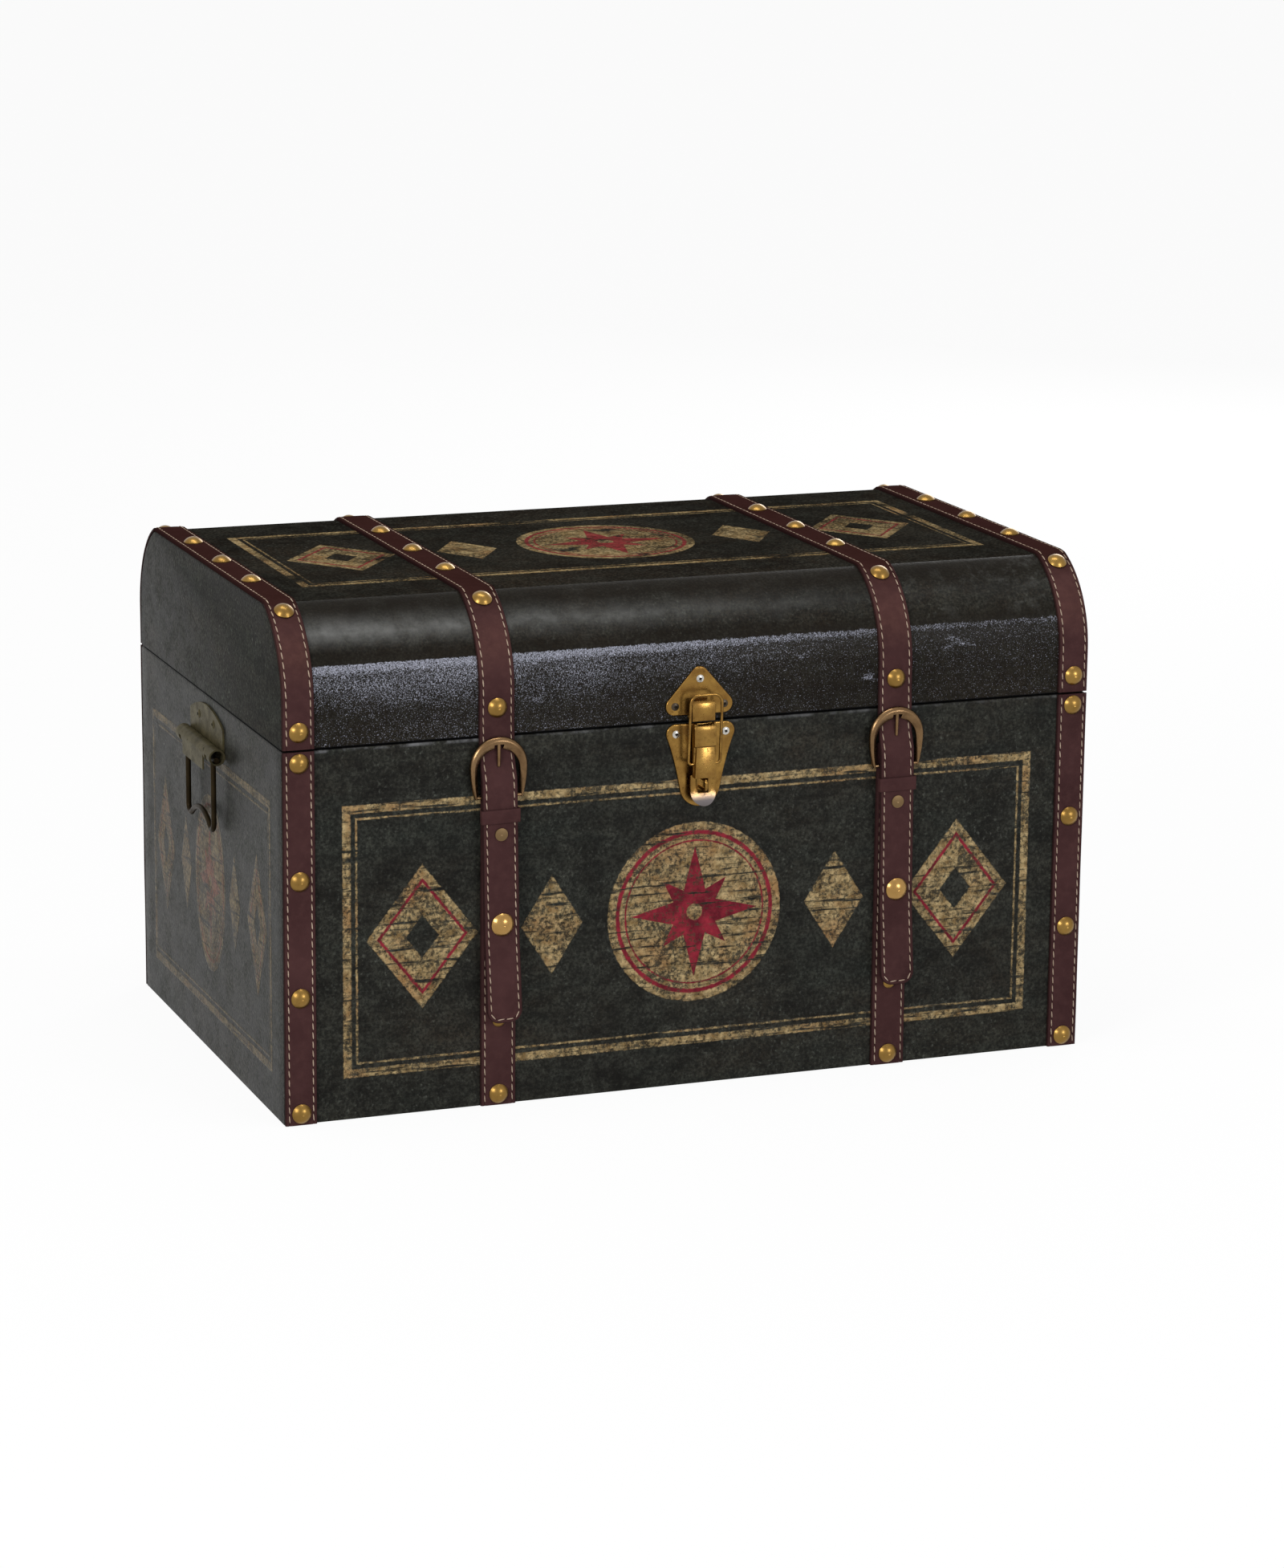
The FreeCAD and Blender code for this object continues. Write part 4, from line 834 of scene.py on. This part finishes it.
def strap_piece(name, bm, lay, body, stands_for, stitches):
    """Add stitches, darken the cut edges, and lay the flat strap in place with lay(across, along, height)."""
    rim = bm.verts.layers.float.new("rim")
    for vertex in bm.verts:
        vertex[rim] = 1.0 if vertex.co.z < strap_shoulder else 0.35 if vertex.co.z < strap_face else 0.0
    add_stitches(bm, stitches)
    for vertex in bm.verts:
        across, along, height = vertex.co
        drift = 0.00018 * noise.noise(Vector((along * 19, len(name) * 1.7, ord(name[-4]) * 0.31)))
        vertex.co = lay(across + drift, along, height)
    face_outward(bm)
    level_from = lid_top - 0.0015
    for face in bm.faces:
        if face.material_index == 0 and min(vertex.co.z for vertex in face.verts) > level_from:
            face.material_index = 2
    return piece(name, bm, [leather, stitching, level_leather], body, stands_for, 35.0)


def middle_and_width(node):
    low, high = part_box(node)
    return (low.x + high.x) / 2, high.x - low.x


def base_strap(node, facing):
    low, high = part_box(node)
    middle, width = middle_and_width(node)
    face_y = facing * half_depth

    def lay(across, along, height):
        return middle - facing * across, face_y + facing * height, along

    bm = flat_strap(width, low.z, high.z, spacing=0.012)
    return strap_piece(node + "_leather", bm, lay, "base", [node], stitch_places(width, low.z, high.z))


def on_lid(across, along, height):
    """Place of a point of the flat strap once it lies over the lid."""
    y, z, out_y, out_z = lid_path(along)
    return across, y + out_y * height, z + out_z * height


def lid_strap(node):
    middle, width = middle_and_width(node)

    def lay(across, along, height):
        return on_lid(middle + across, along, height)

    start, end = strap_end_gap, lid_run() - strap_end_gap
    bm = flat_strap(width, start, end, spacing=0.0055)
    return strap_piece(node + "_leather", bm, lay, "lid", [node], stitch_places(width, start, end))


def tail_standoff(z):
    """How far the strap tail's inner face hangs off the front, from its height."""
    def knee(value, half):
        return max(value, 0.0) if abs(value) > half else (value + half) ** 2 / (4 * half)

    lie = tail_lie * min(1.0, max(0.0, (tail_ease_z - z) / tail_ease))
    slope = (tail_hang - tail_lie) / (tail_bend_z - tail_slope_z)
    hang = slope * (knee(tail_bend_z - z, tail_bend_soft) - knee(tail_slope_z - z, tail_bend_soft))
    lift = tail_tip_lift / (tail_lift_z - tail_tip) * knee(tail_lift_z - z, tail_lift_soft)
    return lie + hang + lift


def leaned(side, middle, point):
    """Turn a point of the strap tail about its upper end by the tail's lean."""
    x, y, z = point
    share = min(1.0, max(0.0, (lean_from_z - z) / lean_over))
    lean = tail_leans[side] * share * share * (3 - 2 * share)
    across, drop = x - middle, tail_top - z
    return (middle + across * cos(lean) + drop * sin(lean), y,
            tail_top + across * sin(lean) - drop * cos(lean))


def tailed_strap(side):
    node = "lid_strap_mid_" + side
    middle, width = middle_and_width(node)
    start, end = tail_tip - lid_low, lid_run() - strap_end_gap

    def lay(across, along, height):
        if along > shoulder_z - lid_low:
            return on_lid(middle + across, along, height)
        z = lid_low + along
        return leaned(side, middle, (middle + across, -half_depth - tail_standoff(z) - height, z))

    bm = flat_strap(width, start, end, spacing=0.0045, rounded_start=True)
    stitches = stitch_places(width, start, end, rounded_start=True)
    made = strap_piece("tailed_strap_" + side, bm, lay, None, [node, "strap_flap_" + side], stitches)
    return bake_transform(made)


def strap_keeper(side):
    """Leather loop round the tail below the buckle."""
    middle, width = middle_and_width("lid_strap_mid_" + side)
    across = width / 2 + keeper_spare
    near, far = -half_depth - keeper_in, -half_depth - keeper_out
    outline = ((-across, near), (-across, far), (across, far), (across, near))
    bm = bmesh.new()
    corners = [bm.verts.new((x, y, keeper_low)) for x, y in outline]
    bm.faces.new(corners)
    bevelled(bm, corners, keeper_corner, 4, "VERTICES")
    bm.faces.ensure_lookup_table()
    centre = bm.faces[0]
    bmesh.ops.inset_region(bm, faces=[centre], thickness=keeper_sheet, use_even_offset=True,
                           use_boundary=True)
    remove_faces(bm, [centre])
    raised = of_kind(BMVert, bmesh.ops.extrude_face_region(bm, geom=bm.faces[:])["geom"])
    bmesh.ops.translate(bm, vec=(0, 0, keeper_high - keeper_low), verts=raised)
    face_outward(bm)
    bevelled(bm, [edge for edge in bm.edges if edge.calc_face_angle(0) > 1.2], 0.0004, 2)
    rim = bm.verts.layers.float.new("rim")
    for vertex in bm.verts:
        from_edge = min(vertex.co.z - keeper_low, keeper_high - vertex.co.z)
        vertex[rim] = 0.6 if from_edge < 0.0003 else 0.0
        vertex.co = leaned(side, middle, (vertex.co.x + middle, vertex.co.y, vertex.co.z))
    return piece("keeper_loop_" + side, bm, [leather], "strap_tail_" + side,
                 ["strap_keeper_" + side], 50.0)


# Cast horseshoe buckles

def arch_point(half, tip_half, top, along):
    """Point on the horseshoe's outline, from -1 at its left tip over the crown at 0 to 1 at its right tip."""
    middle, way = top - half, abs(along)
    if way <= 0.5:
        return half * sin(along * pi), middle + half * cos(along * pi)
    inward, drop = half - tip_half, middle - buckle_low
    bow = (inward ** 2 + drop ** 2) / (2 * inward)
    turn = (2 * way - 1) * asin(drop / bow)
    return copysign(half - bow * (1 - cos(turn)), along), middle - bow * sin(turn)


def buckle(side):
    """Ridged frame with a notch for the prong, and the bar behind the strap."""
    middle = middle_and_width("lid_strap_mid_" + side)[0]
    notch = 0.064
    leg = [notch + 0.001] + steps(notch, 1.0, 0.042) + [1.0]
    places = [-place for place in reversed(leg)] + [-notch, 0.0, notch] + leg
    inner_half, inner_tip = buckle_half_width - buckle_side_width, buckle_tip_half_width - buckle_tip_width

    def lay(along, across, out):
        outer = arch_point(buckle_half_width, buckle_tip_half_width, buckle_top, along)
        inner = arch_point(inner_half, inner_tip, buckle_top - buckle_crown, along)
        share = across if abs(along) > notch else min(across, buckle_notch_rim / dist(outer, inner))
        depth = buckle_depth * (1.0 - 0.25 * max(0.0, 2 * abs(along) - 1.0))
        x, z = (start + (end - start) * share for start, end in zip(outer, inner))
        return x, -buckle_depth / 2 - (out - 0.5) * depth, z

    bm = bmesh.new()
    columns, rows = len(places) - 1, len(buckle_section)
    bmesh.ops.create_grid(bm, x_segments=columns, y_segments=rows, size=0.5)
    for vertex in bm.verts:
        column, row = round((vertex.co.x + 0.5) * columns), round((vertex.co.y + 0.5) * rows)
        vertex.co = lay(places[column], *buckle_section[row % rows])
    bmesh.ops.remove_doubles(bm, verts=bm.verts[:], dist=1e-6)
    caps = bmesh.ops.holes_fill(bm, edges=open_edges(bm), sides=0)["faces"]
    face_outward(bm)
    bevelled(bm, list({edge for face in caps for edge in face.edges}), 0.0005, 2)
    bar_z = buckle_low + buckle_bar_radius
    place = Matrix.Translation((0, -buckle_depth / 2, bar_z)) @ Matrix.Rotation(pi / 2, 4, "Y")
    bmesh.ops.create_cone(bm, cap_ends=True, segments=16, radius1=buckle_bar_radius,
                          radius2=buckle_bar_radius, depth=buckle_bar_length, matrix=place)
    bar_y = -half_depth - buckle_bar_out
    tilt = (Matrix.Translation((0, bar_y, bar_z)) @ Matrix.Rotation(buckle_tilt, 4, "X")
            @ Matrix.Translation((0, buckle_depth / 2, -bar_z)))
    hang = (Matrix.Translation((middle, 0, tail_top)) @ Matrix.Rotation(-tail_leans[side], 4, "Y")
            @ Matrix.Translation((0, 0, -tail_top)))
    bmesh.ops.transform(bm, matrix=hang @ tilt, verts=bm.verts[:])
    return piece("buckle_" + side, bm, [buckle_bronze], "strap_tail_" + side,
                 ["buckle_frame_" + side], 50.0)


def eased(node, finish, body, width):
    """Metal piece with its sharp edges broken."""
    bm = bmesh.new()
    bm.from_mesh(nodes[node].data)
    bmesh.ops.remove_doubles(bm, verts=bm.verts[:], dist=1e-6)
    bmesh.ops.dissolve_limit(bm, angle_limit=radians(1), verts=bm.verts[:], edges=bm.edges[:])
    sharp = [edge for edge in bm.edges
             if edge.is_manifold and edge.calc_face_angle(0) > 0.5 and edge.calc_length() > 0.001]
    bevelled(bm, sharp, width, 2)
    return piece(node + "_eased", bm, [finish], body, [node], 30.0)


# Cross-head screws

def cross_head(radius):
    """Low round screw head on the plane z = 0, with a sunk cross."""
    def in_cross(face):
        near, far = sorted(abs(value) for value in face.calc_center_median()[:2])
        return near < 0.2 and far < 0.5

    bm = bmesh.new()
    bmesh.ops.create_grid(bm, x_segments=10, y_segments=10, size=1.0)
    cross = [face for face in bm.faces if in_cross(face)]
    edge = open_edges(bm)
    for vertex in bm.verts:
        x, y = vertex.co.x, vertex.co.y
        x, y = x * sqrt(1 - y * y / 2), y * sqrt(1 - x * x / 2)
        vertex.co = (x * radius, y * radius, screw_rim + screw_dome * (1 - x * x - y * y))
    for vertex in extruded_edge(bm, edge):
        vertex.co.z = 0.0
    floor = of_kind(BMFace, bmesh.ops.extrude_face_region(bm, geom=cross)["geom"])
    remove_faces(bm, cross)
    for vertex in {vertex for face in floor for vertex in face.verts}:
        vertex.co.z = screw_cross_z
    face_outward(bm)
    # The sunk cross takes the painted shade finish.
    for face in bm.faces:
        low = min(vertex.co.z for vertex in face.verts)
        near = hypot(*face.calc_center_median()[:2]) < 0.7 * radius
        face.material_index = 1 if near and low < screw_cross_z + 0.00001 else 0
    return bm


def screws(node, spots, radius, finish, body, dull=()):
    """Screw heads in place of the node's, at spots of (place, outward); dull numbers the ones given a darker
    finish.
    """
    joined = bmesh.new()
    for index, (place, outward) in enumerate(spots):
        head = cross_head(radius)
        if index in dull:
            for face in head.faces:
                face.material_index = face.material_index or 2
        facing = Vector(outward).to_track_quat("Z", "Y").to_matrix().to_4x4()
        driven = Matrix.Rotation(0.4 * sin(index * 4.1), 4, "Z")
        join(joined, as_mesh("head", head), Matrix.Translation(place) @ facing @ driven)
    finishes = [finish, recess_shade, dull_screw]
    return piece(node + "_heads", joined, finishes, body, [node], 30.0)


base_covering()
lid_covering()
base_lining()
lid_lining()
for place in ("left", "mid_left", "mid_right", "right"):
    base_strap("base_front_strap_" + place, -1)
    base_strap("base_back_strap_" + place, 1)
for place in ("left", "right"):
    lid_strap("lid_strap_" + place)
    tailed_strap(place)
    strap_keeper(place)
    buckle(place)
eased("latch_lever", lever_brass, "latch_lever", 0.00035)
eased("latch_catch_plate", latch_brass, "lid", 0.00035)
for body, places, dull in (("base", latch_base_places, ()), ("lid", latch_lid_places, (0, 1))):
    spots = [((x, -half_depth - latch_plate, z), (0, -1, 0)) for x, z in places]
    screws("latch_" + body + "_screws", spots, screw_radius, nickel, body, dull)
hinge_steps = (-hinge_screw_spacing, 0, hinge_screw_spacing)
hinge_places = [side * hinge_x + step for side in (-1, 1) for step in hinge_steps]
for body, z in (("base", hinge_base_screw_z), ("lid", hinge_lid_screw_z)):
    spots = [((x, half_depth + hinge_leaf, z), (0, 1, 0)) for x in hinge_places]
    screws("hinge_" + body + "_screws", spots, screw_radius, nickel, body)
handle_face = half_width + handle_plate
handle_spots = [((side * handle_face, y, handle_screw_z), (side, 0, 0))
                for side in (-1, 1) for y in (-handle_screw_y, handle_screw_y)]
screws("handle_screws", handle_spots, handle_screw_radius, handle_brass, "base")


# Finishes of the wooden and metal parts

def on_sides(name):
    return [name + side for side in ("_left", "_right")]


node_finishes = {
    wood: ("base_floor", "base_front_panel", "base_back_panel", "base_left_panel", "base_right_panel",
           "lid_arch_board", "lid_left_end", "lid_right_end"),
    stud_brass: ("base_studs", "lid_studs"),
    rivet_brass: on_sides("flap_rivets"),
    buckle_bronze: on_sides("buckle_prong"),
    latch_brass: ("latch_base_plate", "latch_bail", "latch_pivot_pin", "latch_staple"),
    handle_brass: on_sides("handle_plate"),
    handle_wire: on_sides("handle_bail"),
    hinge_brass: (*on_sides("hinge_base_leaf"), *on_sides("hinge_lid_leaf"), "hinge_pins"),
    magnet_steel: (*on_sides("flap_magnet"), "strap_magnet_plates"),
}
for finish, names in node_finishes.items():
    for name in names:
        nodes[name].data.materials.clear()
        nodes[name].data.materials.append(finish)


# Floor, light and camera

def show_white(wiring, plain, white, share, output):
    """Mix white into plain by the share where the camera, a mirror or glass sees it, and nowhere else."""
    rays = wiring.tree.nodes.new("ShaderNodeLightPath").outputs
    seen = wiring.larger(rays["Is Camera Ray"], rays["Is Glossy Ray"], rays["Is Transmission Ray"])
    mixed = wiring.node("MixShader", {0: wiring.times(seen, share), 1: plain, 2: white})
    wiring.tree.links.new(mixed, wiring.tree.nodes[output].inputs[0])


def pale_floor():
    f = Finish("pale_floor", roughness=0.9, specular=0.0)
    f.shader.inputs["Base Color"].default_value = (0.92, 0.92, 0.92, 1)
    glow = f.node("Emission", {"Color": (1, 1, 1, 1)})
    show_white(f, f.shader.outputs[0], glow, 0.93, "Material Output")
    bm = bmesh.new()
    place = Matrix.Translation((0, 0, -0.0004))
    bmesh.ops.create_grid(bm, x_segments=2, y_segments=2, size=40.0, matrix=place)
    mesh = as_mesh("floor", bm)
    mesh.materials.append(f.material)
    in_scene("floor", mesh)


def studio_world():
    scene.world = bpy.data.worlds.new("studio")
    wiring = Wiring(scene.world)
    soft = wiring.tree.nodes["Background"]
    soft.inputs["Color"].default_value = (1, 1, 1, 1)
    soft.inputs["Strength"].default_value = 0.42
    white = wiring.node("Background", {"Color": (1, 1, 1, 1), "Strength": 1.0})
    show_white(wiring, soft.outputs[0], white, 1.0, "World Output")


def soft_box(name, place, target, width, height, watts, colour=(1, 1, 1)):
    lamp = bpy.data.lights.new(name, "AREA")
    lamp.shape = "RECTANGLE"
    lamp.size, lamp.size_y = width, height
    lamp.energy = watts
    lamp.color = colour
    made = in_scene(name, lamp)
    made.location = place
    made.rotation_euler = (Vector(target) - Vector(place)).to_track_quat("-Z", "Y").to_euler()


def photo_camera():
    """Camera of the photograph, fitted to the trunk's edges and fittings."""
    turn, rise, roll = radians(-20.973), radians(13.665), radians(0.581)
    place = Vector((-1.1592, -3.1046, 0.9845))
    focal_pixels, photo_pixels, sensor = 5677.4, 1954.0, 36.0
    back = Vector((sin(turn) * cos(rise), -cos(turn) * cos(rise), sin(rise)))
    right = Vector((cos(turn), sin(turn), 0))
    up = back.cross(right)
    right, up = (cos(roll) * right + sin(roll) * up, cos(roll) * up - sin(roll) * right)
    lens = bpy.data.cameras.new("camera")
    lens.sensor_fit = "AUTO"
    lens.sensor_width = sensor
    lens.lens = sensor * focal_pixels / photo_pixels
    lens.clip_end = 200.0
    scene.camera = in_scene("camera", lens)
    scene.camera.matrix_world = Matrix.Translation(place) @ Matrix((right, up, back)).transposed().to_4x4()


pale_floor()
studio_world()
middle_of_trunk = (0, 0, 0.18)
soft_box("overhead", (-0.15, -0.20, 2.3), middle_of_trunk, 1.5, 0.35, 16)
soft_box("left_key", (-2.2, -1.6, 1.35), middle_of_trunk, 0.9, 0.9, 34)
soft_box("front_strip", (1.1, -2.6, 1.05), middle_of_trunk, 0.8, 0.7, 22, (0.92, 0.95, 1.0))
soft_box("back_fill", (2.0, 2.3, 1.3), middle_of_trunk, 1.3, 1.3, 26)
photo_camera()
